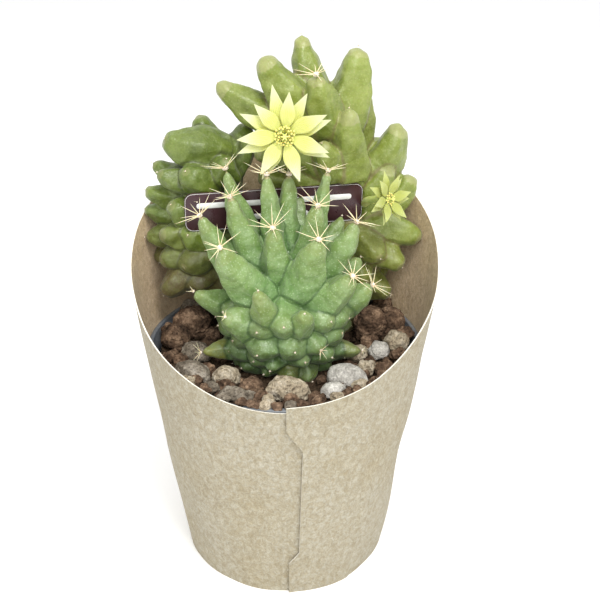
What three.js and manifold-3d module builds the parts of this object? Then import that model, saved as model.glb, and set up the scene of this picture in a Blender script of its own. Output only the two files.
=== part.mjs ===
// A round, clustering cactus in a small nursery pot, dressed in a paper sleeve. Millimetres, +Z up.
// The origin is the centre of the pot's base, on the surface that it stands on, and the front faces -Y.
// Heights in the plant's own tables are measured from the soil's surface.
import * as THREE from "three";
import { mergeVertices } from "three/addons/utils/BufferGeometryUtils.js";
import Module from "manifold-3d";

const wasm = await Module();
wasm.setup();

// ---- Driving dimensions ----

const clearance = 0.3; // between pieces that touch
const roundSides = 36; // of the pot and the soil

const pot = {
  height: 90,
  rimRadius: 52.5,
  baseRadius: 36,
  wall: 1.2,
  floor: 1.8,
  bandHeight: 11, // the stiff band round the rim
  bandStep: 1.6, // how far the band stands out from the wall
  drainRadius: 2.2,
  drainCircle: 25,
  drains: 5,
};

const soil = {
  belowRim: 8, // in the middle
  // How much higher its surface is than in the middle: distance from the axis, rise.
  rise: [
    [0, 0],
    [24, 1.2],
    [39, 3.6],
    [48, 6],
  ],
};

const sleeve = {
  board: 0.6,
  taper: 0.151, // growth of the radius for each millimetre of height
  rimMiddle: 121.6,
  rimRise: 31.2, // the back rim stands this much above the middle, and the front as much below
  overlap: 18, // how far the covered end runs under the free one
  drift: 3.2, // the free end's rim stands this much above the covered end's
  columns: 44,
  // The free end's outline: height, and how far the edge stands to the right of the front's middle.
  edge: [
    [0, 1.3],
    [16, 1.3],
    [21, 5.8],
    [71, 6.2],
    [80, 0.3],
  ],
};

const label = {
  width: 68,
  height: 15.5,
  corner: 3.2,
  thickness: 0.8,
  centre: [-3.4, 12.5],
  centreHeight: 57.5,
  turn: 10, // degrees, left end forward
  lean: 5, // degrees, top forward
  stakeTop: 8,
  stakeTip: 3,
  buried: 32,
};

// The outline of a tubercle from its root to its tip: share of its length, share of its girth.
const tubercleOutlines = {
  finger: [
    [0.34, 1],
    [0.7, 0.8],
    [0.95, 0.4],
  ],
  cone: [
    [0.36, 1.04],
    [0.7, 0.86],
    [0.94, 0.36],
  ],
  mound: [
    [0.5, 1],
    [0.8, 0.92],
    [0.95, 0.38],
  ],
};
const slimGirth = 12.5; // a tubercle up to this girth is drawn with fewer sides
const tubercleSides = { slim: 6, stout: 7 };
const elbowShare = { out: 0.62, up: 0.3 }; // where a tubercle bends, as shares of its way out and up

const rootDepth = 5; // how far a head's foot goes into the soil
const footShare = 0.8; // its radius, as a share of the core's

// Each head has a core that follows an axis, and tubercles that leave the core and bend up to their tips.
// A tubercle's row gives its tip's x and y, its tip's height, the height of its root on the axis, and
// its girth. The head's outline names the shape of these tubercles.
// A head's crowded rows of mounds are set round it by a loop: each gives the height of its roots, how far
// its tips reach, how much its tips rise, their number and their girth.
const frontHead = {
  name: "front_head",
  axis: [
    [0, -1],
    [0, -2, 26],
    [0, 1, 44],
  ],
  coreRadius: 21,
  outline: "finger",
  tubercles: [
    [-21, 5, 75, 32, 11.5], // top, from left to right
    [-6, -2, 75, 34, 10.5],
    [2, 4, 73, 34, 10],
    [16, 2, 75, 28, 11.5],
    [-19, -6, 68, 28, 13],
    [-4, -16, 60, 30, 13],
    [12, -10, 66, 32, 11],
    [-30, -6, 61, 24, 13],
    [-22, -24, 56, 24, 16], // the middle of the front
    [12, -22, 58, 26, 17],
    [26, -8, 59, 26, 14],
    [24, -22, 44, 21, 16],
    [-9, -31, 43, 22, 16],
    [7, -31, 33, 20, 17],
    [32, -12, 36, 18, 15],
    [-33, -12, 34, 20, 12.5],
    [-21, -25, 30, 18, 17],
    [-31, -16, 11, 9, 9], // at the soil
    [29, -12, 9, 9, 10],
    [6, 15, 62, 34, 12], // behind
    [-14, 15, 56, 30, 13],
    [22, 12, 54, 28, 13],
    [-27, 9, 43, 22, 14],
    [29, 5, 40, 20, 14],
  ],
  rows: [
    [5, 20.5, -2.5, 8, 11],
    [11, 24, -1.5, 8, 12.5],
    [17.5, 26.5, 0, 8, 14],
    [24.5, 27, 2, 7, 15],
  ],
  rowsFrom: 170,
  rowsTo: 380,
};

const rearHead = {
  name: "rear_head",
  axis: [
    [17, 24],
    [27, 29, 44],
    [15, 28, 92],
  ],
  coreRadius: 14,
  outline: "cone",
  tubercles: [
    [-24, 24, 102, 80, 16], // the crown
    [-7, 20, 112, 84, 18],
    [7, 32, 118, 86, 13.5],
    [28, 30, 114, 82, 18],
    [12, 14, 107, 82, 15],
    [24, 14, 95, 58, 15],
    [31, 34, 97, 70, 14],
    [14, 10, 83, 66, 13],
    [0, 18, 83, 66, 15],
    [3, 19, 70, 54, 15],
    [-9, 21, 68, 58, 14],
    [-11, 18, 78, 72, 14],
    [44, 26, 85, 56, 17], // the right-hand side
    [40, 20, 70, 52, 15],
    [50, 24, 66, 46, 15],
    [53, 18, 42, 48, 15],
    [46, 13, 32, 40, 14],
    [37, 10, 37, 42, 13],
    [32, 12, 26, 30, 12],
    [42, 15, 19, 24, 12.5],
  ],
  rows: [
    [22, 20, -2, 4, 15],
    [44, 22, 2, 4, 16],
    [66, 20, 12, 4, 16],
  ],
  rowsFrom: 30,
  rowsTo: 175,
};

const leftHead = {
  name: "left_head",
  axis: [
    [-7, 20],
    [-27, 22, 42],
    [-20, 25, 78],
  ],
  coreRadius: 13,
  outline: "cone",
  tubercles: [
    [-44, 17, 83, 76, 16], // the crown
    [-32, 29, 88, 72, 14],
    [-14, 29, 85, 68, 14],
    [-21, 11, 77, 66, 13],
    [-36, 9, 73, 64, 14],
    [-47, 14, 71, 62, 11],
    [-32, 6, 62, 50, 14], // facing forward
    [-42, 9, 60, 52, 13.5],
    [-36, 6, 49, 44, 14],
    [-46, 9, 48, 44, 13],
    [-38, 6, 36, 38, 14],
    [-47, 10, 36, 40, 13],
    [-47, 10, 22, 36, 14.5],
    [-36, 8, 25, 32, 13],
    [-50, 23, 72, 62, 11], // the left-hand side
    [-53, 20, 62, 56, 11],
    [-54, 24, 53, 50, 11],
    [-54, 19, 43, 44, 11],
    [-52, 24, 32, 38, 12],
  ],
  rows: [
    [26, 17, 0, 3, 14],
    [48, 19, 6, 3, 15],
  ],
  rowsFrom: 55,
  rowsTo: 165,
};

// Tufts of spines sit on these tubercles, by their place in the head's table.
const tufts = {
  front_head: [0, 1, 2, 3, 4, 5, 6, 7, 8, 9, 10, 11, 14],
  rear_head: [4],
};
const tuft = { padRadius: 1.2, spines: 8, spineRadius: 0.32, lift: 22 };
const spineLength = 7;

const largeFlower = {
  name: "large_flower",
  throat: [0.5, 5, 87.5],
  root: [9, 20, 74],
  turn: 0, // degrees to the right of straight forward
  rise: 12, // degrees above the horizon
  radius: 18,
  outerPetals: 8,
  innerPetals: 7,
  phase: 17, // degrees that its first petal is turned
};

const smallFlower = {
  name: "small_flower",
  throat: [37.5, 4, 63.5],
  root: [31, 19, 56],
  turn: 40,
  rise: 15,
  radius: 10.5,
  outerPetals: 7,
  innerPetals: 6,
  phase: 0,
  joined: true, // each whorl's petals are one piece
};

// Top dressing. Each row gives a stone's x and y, its three radii, its turn and its kind.
const stones = [
  [-37, 15, 8.5, 7.5, 8, 20, "lava"],
  [-42, 1, 6, 6.5, 6.5, 70, "lava"],
  [-34, -5, 6.5, 5, 5, -20, "lava"],
  [-34, -24, 8, 5.5, 5, -30, "pumice"],
  [-21.5, -24, 5.5, 5, 5, 15, "lava"],
  [-12, -32, 4.5, 4.5, 4, 60, "lava"],
  [-18, -40, 5.5, 3.5, 3.5, -15, "pumice"],
  [1, -37, 8.5, 6, 6.5, -10, "pumice"],
  [23, -25, 8, 5.5, 5.5, -25, "pumice"],
  [17, -36, 5.5, 4.5, 3.5, 15, "pumice"],
  [36, -6, 4.8, 4.5, 4.8, 40, "pumice"],
  [43, -2, 5.5, 6, 5, 35, "pumice"],
  [34, 12, 7.5, 7.5, 10, 0, "lava"],
  [42, 13, 6, 7, 7, 30, "lava"],
  [0, 38, 8, 6, 6, 10, "lava"],
];
const stoneSink = 0.3; // share of a stone's height that its flat foot takes off

// ---- Helpers ----

const up = new THREE.Vector3(0, 1, 0); // the axis of three.js's turned shapes
const colours = {
  paper: [0xcbbf9d, 0.95],
  plastic: [0x3b4148, 0.55],
  soil: [0x2c221b, 1],
  lava: [0x73523f, 1],
  pumice: [0xa59d90, 1],
  label: [0x3a1a22, 0.45],
  flesh: [0x86ad6c, 0.5],
  rearFlesh: [0x93ab5c, 0.5],
  spine: [0xe6dcae, 0.7],
  petal: [0xf2ee7c, 0.6],
  tube: [0xb9c46a, 0.6],
  stamen: [0xe8d040, 0.6],
};

// A closed geometry as a manifold-3d solid.
function solidOf(geometry) {
  const bare = geometry.clone();
  bare.deleteAttribute("normal");
  bare.deleteAttribute("uv");
  const merged = mergeVertices(bare, 1e-4);
  const made = new wasm.Manifold(
    new wasm.Mesh({
      numProp: 3,
      vertProperties: new Float32Array(merged.attributes.position.array),
      triVerts: new Uint32Array(merged.index.array),
    }),
  );
  if (made.volume() >= 0) return made;
  const triVerts = new Uint32Array(merged.index.array);
  for (let i = 0; i < triVerts.length; i += 3) {
    [triVerts[i + 1], triVerts[i + 2]] = [triVerts[i + 2], triVerts[i + 1]];
  }
  return new wasm.Manifold(
    new wasm.Mesh({
      numProp: 3,
      vertProperties: new Float32Array(merged.attributes.position.array),
      triVerts,
    }),
  );
}

// The largest connected piece of a solid, so that a cut never leaves crumbs.
function largestPiece(solid) {
  const pieces = solid.decompose();
  return pieces.sort((a, b) => b.volume() - a.volume())[0];
}

function geometryOf(solid) {
  const mesh = solid.getMesh();
  const position = new Float32Array(mesh.numVert * 3);
  for (let i = 0; i < mesh.numVert; i++) {
    const from = i * mesh.numProp;
    position.set(mesh.vertProperties.subarray(from, from + 3), i * 3);
  }
  const geometry = new THREE.BufferGeometry();
  geometry.setAttribute("position", new THREE.BufferAttribute(position, 3));
  geometry.setIndex(new THREE.BufferAttribute(new Uint32Array(mesh.triVerts), 1));
  return geometry;
}

function unionOf(solids) {
  return solids.reduce((sum, solid) => sum.add(solid));
}

// A turned shape whose outline is a list of [radius, height], standing on +Z.
function turned(outline, sides) {
  const points = outline.map(([radius, height]) => new THREE.Vector2(radius, height));
  return new THREE.LatheGeometry(points, sides).rotateX(Math.PI / 2);
}

// A turned shape laid from one point to another; its outline's heights are shares of the distance.
function turnedBetween(outline, from, to, sides, extraLength = 0) {
  const way = to.clone().sub(from);
  const length = way.length() + extraLength;
  const points = outline.map(([radius, share]) => new THREE.Vector2(radius, share * length));
  const geometry = new THREE.LatheGeometry(points, sides);
  geometry.applyQuaternion(new THREE.Quaternion().setFromUnitVectors(up, way.normalize()));
  return geometry.translate(from.x, from.y, from.z);
}

function mesh(name, shape, [colour, roughness]) {
  const geometry = shape.isBufferGeometry ? shape : geometryOf(shape);
  const material = new THREE.MeshStandardMaterial({ color: colour, roughness, metalness: 0 });
  const made = new THREE.Mesh(geometry, material);
  made.name = name;
  return made;
}

// ---- Pot ----

const bandBottom = pot.height - pot.bandHeight;
const bandBottomRadius = pot.rimRadius - sleeve.taper * pot.bandHeight;
const wallTopRadius = bandBottomRadius - pot.bandStep;

// The pot wall's outer radius below the band.
function potWallRadius(height) {
  return pot.baseRadius + ((wallTopRadius - pot.baseRadius) * height) / bandBottom;
}

function potSolid() {
  const innerFloor = potWallRadius(pot.floor) - pot.wall;
  const body = solidOf(
    turned(
      [
        [0, 0],
        [pot.baseRadius, 0],
        [wallTopRadius, bandBottom],
        [bandBottomRadius, bandBottom],
        [pot.rimRadius, pot.height],
        [pot.rimRadius - pot.bandStep, pot.height],
        [wallTopRadius - pot.wall, bandBottom],
        [innerFloor, pot.floor],
        [0, pot.floor],
      ],
      roundSides,
    ),
  );
  const drill = new THREE.CylinderGeometry(pot.drainRadius, pot.drainRadius, 3 * pot.floor, 12);
  drill.rotateX(Math.PI / 2);
  const holes = [];
  for (let i = 0; i < pot.drains; i++) {
    const angle = (2 * Math.PI * (i + 0.5)) / pot.drains;
    const x = pot.drainCircle * Math.cos(angle);
    const y = pot.drainCircle * Math.sin(angle);
    holes.push(solidOf(drill.clone().translate(x, y, pot.floor / 2)));
  }
  return body.subtract(unionOf(holes));
}

// ---- Paper sleeve ----

// The sleeve's inner radius: it touches the pot at the pot's rim.
function sleeveRadius(height) {
  return pot.rimRadius + clearance + sleeve.taper * (height - pot.height);
}

function interpolate(table, x) {
  for (let i = 1; i < table.length; i++) {
    const [x0, y0] = table[i - 1];
    const [x1, y1] = table[i];
    if (x <= x1) return y0 + ((y1 - y0) * (x - x0)) / (x1 - x0);
  }
  return table[table.length - 1][1];
}

function sleeveGeometry() {
  const turnEnd = -2 * Math.PI;
  const start = sleeve.overlap / sleeveRadius(pot.height);
  const frontRim = sleeve.rimMiddle - sleeve.rimRise;
  const rows = [0, ...sleeve.edge.slice(1).map(([height]) => height / frontRim), 1];
  const rampStart = turnEnd + start + 0.6; // the free end begins to rise over the covered one
  const rampEnd = turnEnd + start + 0.12;
  const layers = [0, sleeve.board];
  const positions = [];
  for (const layer of layers) {
    for (const row of rows) {
      for (let column = 0; column <= sleeve.columns; column++) {
        const share = column / sleeve.columns;
        const edgeShare = Math.max(0, (share - 0.92) / 0.08);
        const edgeOffset = interpolate(sleeve.edge, row * frontRim) / sleeveRadius(pot.height);
        const angle = start + (turnEnd - start) * share + edgeOffset * edgeShare;
        const drift = sleeve.drift * (share - 0.5);
        const rim = sleeve.rimMiddle - sleeve.rimRise * Math.cos(angle) + drift;
        const height = rim * row;
        const lift = THREE.MathUtils.smoothstep(-angle, -rampStart, -rampEnd);
        const radius = sleeveRadius(height) + layer + lift * (sleeve.board + clearance);
        positions.push(radius * Math.sin(angle), -radius * Math.cos(angle), height);
      }
    }
  }
  const across = sleeve.columns + 1;
  const at = (layer, row, column) => (layer * rows.length + row) * across + column;
  const index = [];
  const quad = (a, b, c, d) => index.push(a, b, c, a, c, d);
  for (let row = 0; row < rows.length - 1; row++) {
    for (let column = 0; column < sleeve.columns; column++) {
      quad(at(1, row, column), at(1, row + 1, column), at(1, row + 1, column + 1), at(1, row, column + 1));
      quad(at(0, row, column), at(0, row, column + 1), at(0, row + 1, column + 1), at(0, row + 1, column));
    }
    const last = sleeve.columns;
    quad(at(0, row, 0), at(0, row + 1, 0), at(1, row + 1, 0), at(1, row, 0));
    quad(at(1, row, last), at(1, row + 1, last), at(0, row + 1, last), at(0, row, last));
  }
  const top = rows.length - 1;
  for (let column = 0; column < sleeve.columns; column++) {
    quad(at(0, top, column), at(0, top, column + 1), at(1, top, column + 1), at(1, top, column));
    quad(at(1, 0, column), at(1, 0, column + 1), at(0, 0, column + 1), at(0, 0, column));
  }
  const geometry = new THREE.BufferGeometry();
  geometry.setAttribute("position", new THREE.Float32BufferAttribute(positions, 3));
  geometry.setIndex(index);
  return geometry;
}

// The room inside the pot and, above its rim, inside the sleeve, which holds the plant and the stones.
function innerRoom() {
  const potInside = wallTopRadius - pot.wall - clearance;
  const overRim = pot.height + clearance;
  const high = 2.5 * pot.height;
  return solidOf(
    turned(
      [
        [0, pot.floor],
        [potWallRadius(pot.floor) - pot.wall - clearance, pot.floor],
        [potInside, bandBottom],
        [potInside, overRim],
        [sleeveRadius(overRim) - 2 * clearance, overRim],
        [sleeveRadius(high) - 2 * clearance, high],
        [0, high],
      ],
      sleeve.columns,
    ),
  );
}

// ---- Heads ----

const soilTop = pot.height - soil.belowRim;

function axisCurve(head) {
  const [base, middle, top] = head.axis;
  return new THREE.CatmullRomCurve3([
    new THREE.Vector3(base[0], base[1], soilTop - rootDepth),
    new THREE.Vector3(middle[0], middle[1], soilTop + middle[2]),
    new THREE.Vector3(top[0], top[1], soilTop + top[2]),
  ]);
}

// The point of a head's axis at a height above the soil.
function axisPoint(head, height) {
  const curve = axisCurve(head);
  const low = soilTop - rootDepth;
  const high = soilTop + head.axis[2][2];
  const share = THREE.MathUtils.clamp((soilTop + height - low) / (high - low), 0, 1);
  let [from, to] = [0, 1];
  for (let i = 0; i < 20; i++) {
    const middle = (from + to) / 2;
    if (curve.getPoint(middle).z < low + share * (high - low)) from = middle;
    else to = middle;
  }
  return curve.getPoint(from);
}

function tipOf([x, y, height]) {
  return new THREE.Vector3(x, y, soilTop + height);
}

// A tubercle leaves the axis sideways and bends up to its tip.
function tubercleSolid(root, tip, girth, kind, grow) {
  const elbow = new THREE.Vector3(
    THREE.MathUtils.lerp(root.x, tip.x, elbowShare.out),
    THREE.MathUtils.lerp(root.y, tip.y, elbowShare.out),
    THREE.MathUtils.lerp(root.z, tip.z, elbowShare.up),
  );
  const curve = new THREE.QuadraticBezierCurve3(root, elbow, tip);
  const outline = tubercleOutlines[kind].map(([share, radius]) => [(radius * girth) / 2 + grow, share]);
  const sides = girth > slimGirth ? tubercleSides.stout : tubercleSides.slim;
  const length = curve.getLength();
  const points = [[0, 0.06], ...outline, [0, 1 + grow / length]];
  const geometry = new THREE.LatheGeometry(
    points.map(([radius, share]) => new THREE.Vector2(radius, share)),
    sides,
  );
  const position = geometry.attributes.position;
  const turn = new THREE.Quaternion();
  const point = new THREE.Vector3();
  for (let i = 0; i < position.count; i++) {
    const share = position.getY(i);
    const along = curve.getTangent(Math.min(share, 1));
    turn.setFromUnitVectors(up, along);
    point.set(position.getX(i), 0, position.getZ(i)).applyQuaternion(turn);
    point.add(curve.getPoint(Math.min(share, 1)));
    point.addScaledVector(along, Math.max(0, share - 1) * length);
    position.setXYZ(i, point.x, point.y, point.z);
  }
  return solidOf(geometry);
}

// The tubercles of a head's crowded rows, each row staggered against the one below.
function rowTubercles(head) {
  const made = [];
  head.rows.forEach(([height, reach, rise, count, girth], row) => {
    const centre = axisPoint(head, height);
    for (let i = 0; i < count; i++) {
      const share = (i + (row % 2) / 2) / count;
      const angle = THREE.MathUtils.degToRad(head.rowsFrom + (head.rowsTo - head.rowsFrom) * share);
      const x = centre.x + reach * Math.cos(angle);
      const y = centre.y + reach * Math.sin(angle);
      made.push([x, y, height + rise, height, girth]);
    }
  });
  return made;
}

// A head's solid; grow makes it larger all round, for cutting its neighbours clear of it.
function headSolid(head, grow = 0) {
  const radius = head.coreRadius + grow;
  const curve = axisCurve(head);
  const core = turned(
    [
      [0, 0],
      [0.75 * radius, 0],
      [radius, 0.35],
      [0.95 * radius, 0.65],
      [0.6 * radius, 0.92],
      [0, 1],
    ],
    10,
  );
  const position = core.attributes.position;
  for (let i = 0; i < position.count; i++) {
    const centre = curve.getPoint(THREE.MathUtils.clamp(position.getZ(i), 0, 1));
    position.setXYZ(i, centre.x + position.getX(i), centre.y + position.getY(i), centre.z);
  }
  const parts = [solidOf(core)];
  for (const row of head.tubercles) {
    parts.push(tubercleSolid(axisPoint(head, row[3]), tipOf(row), row[4], head.outline, grow));
  }
  for (const row of rowTubercles(head)) {
    parts.push(tubercleSolid(axisPoint(head, row[3]), tipOf(row), row[4], "mound", grow));
  }
  return unionOf(parts);
}

// ---- Label ----

function labelGeometry(grow = 0) {
  const half = label.width / 2 + grow;
  const high = label.height / 2 + grow;
  const r = label.corner;
  const stake = label.stakeTop / 2 + grow;
  const tip = label.stakeTip / 2 + grow;
  const foot = -(label.centreHeight + label.buried) - grow;
  const shape = new THREE.Shape();
  shape.moveTo(-half + r, high);
  shape.lineTo(half - r, high);
  shape.absarc(half - r, high - r, r, Math.PI / 2, 0, true);
  shape.absarc(half - r, -high + r, r, 0, -Math.PI / 2, true);
  shape.lineTo(stake, -high);
  shape.lineTo(tip, foot);
  shape.lineTo(-tip, foot);
  shape.lineTo(-stake, -high);
  shape.lineTo(-half + r, -high);
  shape.absarc(-half + r, -high + r, r, -Math.PI / 2, -Math.PI, true);
  shape.absarc(-half + r, high - r, r, Math.PI, Math.PI / 2, true);
  const depth = label.thickness + 2 * grow;
  const geometry = new THREE.ExtrudeGeometry(shape, { depth, bevelEnabled: false, curveSegments: 4 });
  geometry.translate(0, 0, -depth / 2);
  geometry.rotateX(Math.PI / 2 + THREE.MathUtils.degToRad(label.lean));
  geometry.rotateZ(THREE.MathUtils.degToRad(label.turn));
  return geometry.translate(label.centre[0], label.centre[1], soilTop + label.centreHeight);
}

// ---- Tufts of spines ----

function tuftSolid(tip, direction) {
  const centre = tip.clone().addScaledVector(direction, tuft.padRadius + clearance);
  const pad = new THREE.OctahedronGeometry(tuft.padRadius).translate(centre.x, centre.y, centre.z);
  const side = new THREE.Vector3(direction.z, direction.x, direction.y).cross(direction).normalize();
  const lift = THREE.MathUtils.degToRad(tuft.lift);
  const parts = [solidOf(pad)];
  for (let i = 0; i < tuft.spines; i++) {
    const around = side.clone().applyAxisAngle(direction, (2 * Math.PI * i) / tuft.spines);
    const way = around.multiplyScalar(Math.cos(lift)).addScaledVector(direction, Math.sin(lift));
    const outline = [
      [0, 0],
      [tuft.spineRadius, 0],
      [0, 1],
    ];
    const end = centre.clone().addScaledVector(way, spineLength);
    parts.push(solidOf(turnedBetween(outline, centre, end, 3)));
  }
  return unionOf(parts);
}

// ---- Flowers ----

const petalBase = 0.15; // share of the flower's radius where its petals begin
const petalThickness = 0.5;
const petalReach = { outer: 1, inner: 0.92 }; // how far a petal reaches, as a share of the flower's radius
const petalRise = { outer: 0.22, inner: 0.34 }; // how much a petal rises for each millimetre outwards

function petalSolid(flower, number, count, step, whorl) {
  const { radius } = flower;
  const from = petalBase * radius;
  const length = radius * petalReach[whorl] - from;
  const baseHalf = (0.6 * Math.PI * from) / count;
  const half = (0.72 * Math.PI * (from + 0.45 * length)) / count;
  const shape = new THREE.Shape();
  shape.moveTo(-baseHalf, 0);
  shape.quadraticCurveTo(-half, 0.15 * length, -half, 0.45 * length);
  shape.quadraticCurveTo(-0.8 * half, 0.75 * length, 0, length);
  shape.quadraticCurveTo(0.8 * half, 0.75 * length, half, 0.45 * length);
  shape.quadraticCurveTo(half, 0.15 * length, baseHalf, 0);
  const geometry = new THREE.ExtrudeGeometry(shape, {
    depth: petalThickness,
    bevelEnabled: false,
    curveSegments: flower.joined ? 1 : 3,
  });
  const position = geometry.attributes.position;
  for (let i = 0; i < position.count; i++) {
    const out = Math.max(0, position.getY(i) - 0.12 * radius);
    position.setZ(i, position.getZ(i) + petalRise[whorl] * out);
  }
  geometry.translate(0, from, step);
  const halfStep = whorl === "inner" ? 0.5 : 0;
  geometry.rotateZ((2 * Math.PI * (number + halfStep)) / count + THREE.MathUtils.degToRad(flower.phase));
  return solidOf(geometry);
}

// The frame of a flower: its own +Z points out of its throat.
function flowerMatrix(flower) {
  const turn = THREE.MathUtils.degToRad(flower.turn);
  const rise = THREE.MathUtils.degToRad(flower.rise);
  const out = new THREE.Vector3(
    Math.sin(turn) * Math.cos(rise),
    -Math.cos(turn) * Math.cos(rise),
    Math.sin(rise),
  );
  const right = new THREE.Vector3(Math.cos(turn), Math.sin(turn), 0);
  const top = out.clone().cross(right);
  const matrix = new THREE.Matrix4().makeBasis(right, top, out);
  return matrix.setPosition(flower.throat[0], flower.throat[1], soilTop + flower.throat[2]);
}

function flowerPieces(flower) {
  const { radius } = flower;
  const matrix = flowerMatrix(flower);
  const place = (solid) => solid.transform(matrix.elements);
  const plate = 0.32 * radius; // the receptacle that carries the petals
  const throat = new THREE.Vector3(0, 0, 0);
  const root = new THREE.Vector3(flower.root[0], flower.root[1], soilTop + flower.root[2]);
  root.applyMatrix4(matrix.clone().invert());
  const neck = new THREE.Vector3(0, 0, -0.35 * radius);
  const cup = solidOf(
    turnedBetween(
      [
        [0, 0],
        [0.4 * plate, 0],
        [plate, 0.85],
        [plate, 1],
        [0, 1],
      ],
      neck,
      throat,
      12,
    ),
  );
  const stalk = solidOf(
    turnedBetween(
      [
        [0, 0],
        [0.42 * plate, 0],
        [0.4 * plate, 1.04],
        [0, 1.04],
      ],
      root,
      neck,
      10,
    ),
  );
  const pieces = [["tube", place(cup.add(stalk)), colours.tube]];
  const petalSteps = { outer: clearance, inner: 2 * clearance + 0.6 };
  for (const whorl of ["outer", "inner"]) {
    const count = flower[whorl + "Petals"];
    const step = petalSteps[whorl];
    const petals = [];
    for (let i = 0; i < count; i++) petals.push(petalSolid(flower, i, count, step, whorl));
    if (flower.joined) {
      // The petals of a whorl grow out of one ring.
      const ring = turned(
        [
          [0.9 * petalBase * radius, step],
          [1.4 * petalBase * radius, step],
          [1.4 * petalBase * radius, step + petalThickness],
          [0.9 * petalBase * radius, step + petalThickness],
          [0.9 * petalBase * radius, step],
        ],
        2 * count,
      );
      pieces.push([`${whorl}_petals`, place(unionOf([solidOf(ring), ...petals])), colours.petal]);
      continue;
    }
    petals.forEach((petal, i) => pieces.push([`${whorl}_petal_${i + 1}`, place(petal), colours.petal]));
  }
  const inner = 0.045 * radius;
  const outer = 0.1 * radius;
  const overPetals = petalSteps.inner + petalThickness + clearance;
  const crown = turned(
    [
      [inner, clearance],
      [outer, clearance],
      [outer, overPetals],
      [2 * outer, overPetals + 0.18 * radius],
      [1.5 * outer, overPetals + 0.24 * radius],
      [inner, overPetals + 0.1 * radius],
      [inner, clearance],
    ],
    12,
  );
  pieces.push(["stamens", place(solidOf(crown)), colours.stamen]);
  const styleRadius = 0.5 * inner;
  const styleTop = overPetals + 0.28 * radius;
  const style = turned(
    [
      [0, clearance],
      [styleRadius, clearance],
      [styleRadius, 0.9 * styleTop],
      [1.6 * inner, styleTop],
      [0, styleTop],
    ],
    8,
  );
  pieces.push(["style", place(solidOf(style)), colours.stamen]);
  return pieces;
}

// ---- Stones ----

// A repeatable number from 0 to 1 for a seed.
function chance(seed) {
  const s = Math.sin(seed * 127.1 + 311.7) * 43758.5453;
  return s - Math.floor(s);
}

function stoneSolid([x, y, rx, ry, rz, turn], number, grow = 0) {
  const geometry = mergeVertices(
    new THREE.IcosahedronGeometry(1, 1).deleteAttribute("normal").deleteAttribute("uv"),
  );
  const position = geometry.attributes.position;
  for (let i = 0; i < position.count; i++) {
    const bump = 0.88 + 0.2 * chance(number * 50 + i);
    position.setXYZ(
      i,
      position.getX(i) * (rx * bump + grow),
      position.getY(i) * (ry * bump + grow),
      position.getZ(i) * (rz * bump + grow),
    );
  }
  geometry.rotateZ(THREE.MathUtils.degToRad(turn));
  const height = soilTop + interpolate(soil.rise, Math.hypot(x, y)) + rz - 2 * rz * stoneSink;
  return solidOf(geometry.translate(x, y, height));
}

// ---- Soil ----

// The bed of soil; grow raises its surface.
function soilSolid(grow = 0) {
  const low = pot.floor + clearance;
  const wallAt = (height) => potWallRadius(height) - pot.wall - clearance + grow;
  const top = soilTop + grow;
  return solidOf(
    turned(
      [
        [0, low],
        [wallAt(low), low],
        [wallAt(bandBottom), bandBottom],
        [wallAt(bandBottom), top + interpolate(soil.rise, wallAt(bandBottom))],
        ...soil.rise
          .filter(([distance]) => distance < wallAt(bandBottom) - 1)
          .reverse()
          .map(([distance, rise]) => [distance, top + rise]),
      ],
      roundSides,
    ),
  );
}

// The hollow in the soil that a head's foot stands in; grow makes it larger all round.
function footSolid(head, grow = 0) {
  const [x, y] = head.axis[0];
  const radius = footShare * head.coreRadius + grow;
  const depth = rootDepth + grow;
  const geometry = new THREE.CylinderGeometry(radius, radius, depth + 2 * rootDepth, 12);
  geometry.rotateX(Math.PI / 2);
  return solidOf(geometry.translate(x, y, soilTop - depth / 2 + rootDepth));
}

// ---- Assembly ----

const plant = new THREE.Group();
plant.name = "potted_cactus";

const inside = innerRoom();
const labelSolid = solidOf(labelGeometry());
const labelRoom = solidOf(labelGeometry(clearance));

const soilCover = soilSolid(clearance);

const heads = [frontHead, rearHead, leftHead];
const headColours = { front_head: colours.flesh, rear_head: colours.rearFlesh, left_head: colours.rearFlesh };
const headRooms = heads.map((head) => headSolid(head, clearance));
const headSolids = heads.map((head, number) => {
  let solid = headSolid(head).intersect(inside).subtract(labelRoom);
  solid = solid.subtract(soilCover.subtract(footSolid(head)));
  for (const room of headRooms.slice(0, number)) solid = solid.subtract(room);
  return largestPiece(solid);
});
const allHeads = unionOf(headRooms);
const feetRoom = unionOf(heads.map((head) => footSolid(head, clearance)));

plant.add(mesh("paper_sleeve", sleeveGeometry(), colours.paper));
plant.add(mesh("nursery_pot", potSolid(), colours.plastic));
plant.add(mesh("plant_label", labelSolid, colours.label));
heads.forEach((head, number) => plant.add(mesh(head.name, headSolids[number], headColours[head.name])));

const bed = soilSolid().subtract(feetRoom).subtract(labelRoom);
let stoneRooms = null;
stones.forEach((row, i) => {
  let solid = stoneSolid(row, i + 1).intersect(inside).subtract(soilCover).subtract(allHeads);
  if (stoneRooms) solid = solid.subtract(stoneRooms);
  solid = largestPiece(solid);
  const room = stoneSolid(row, i + 1, clearance);
  stoneRooms = stoneRooms ? stoneRooms.add(room) : room;
  plant.add(mesh(`${row[6]}_stone_${i + 1}`, solid, colours[row[6]]));
});
plant.add(mesh("soil", largestPiece(bed), colours.soil));

const flowerRooms = [];
for (const flower of [largeFlower, smallFlower]) {
  for (const [name, whole, colour] of flowerPieces(flower)) {
    const solid = largestPiece(whole.subtract(allHeads).subtract(labelRoom));
    flowerRooms.push(solid);
    plant.add(mesh(`${flower.name}_${name}`, solid, colour));
  }
}

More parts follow.
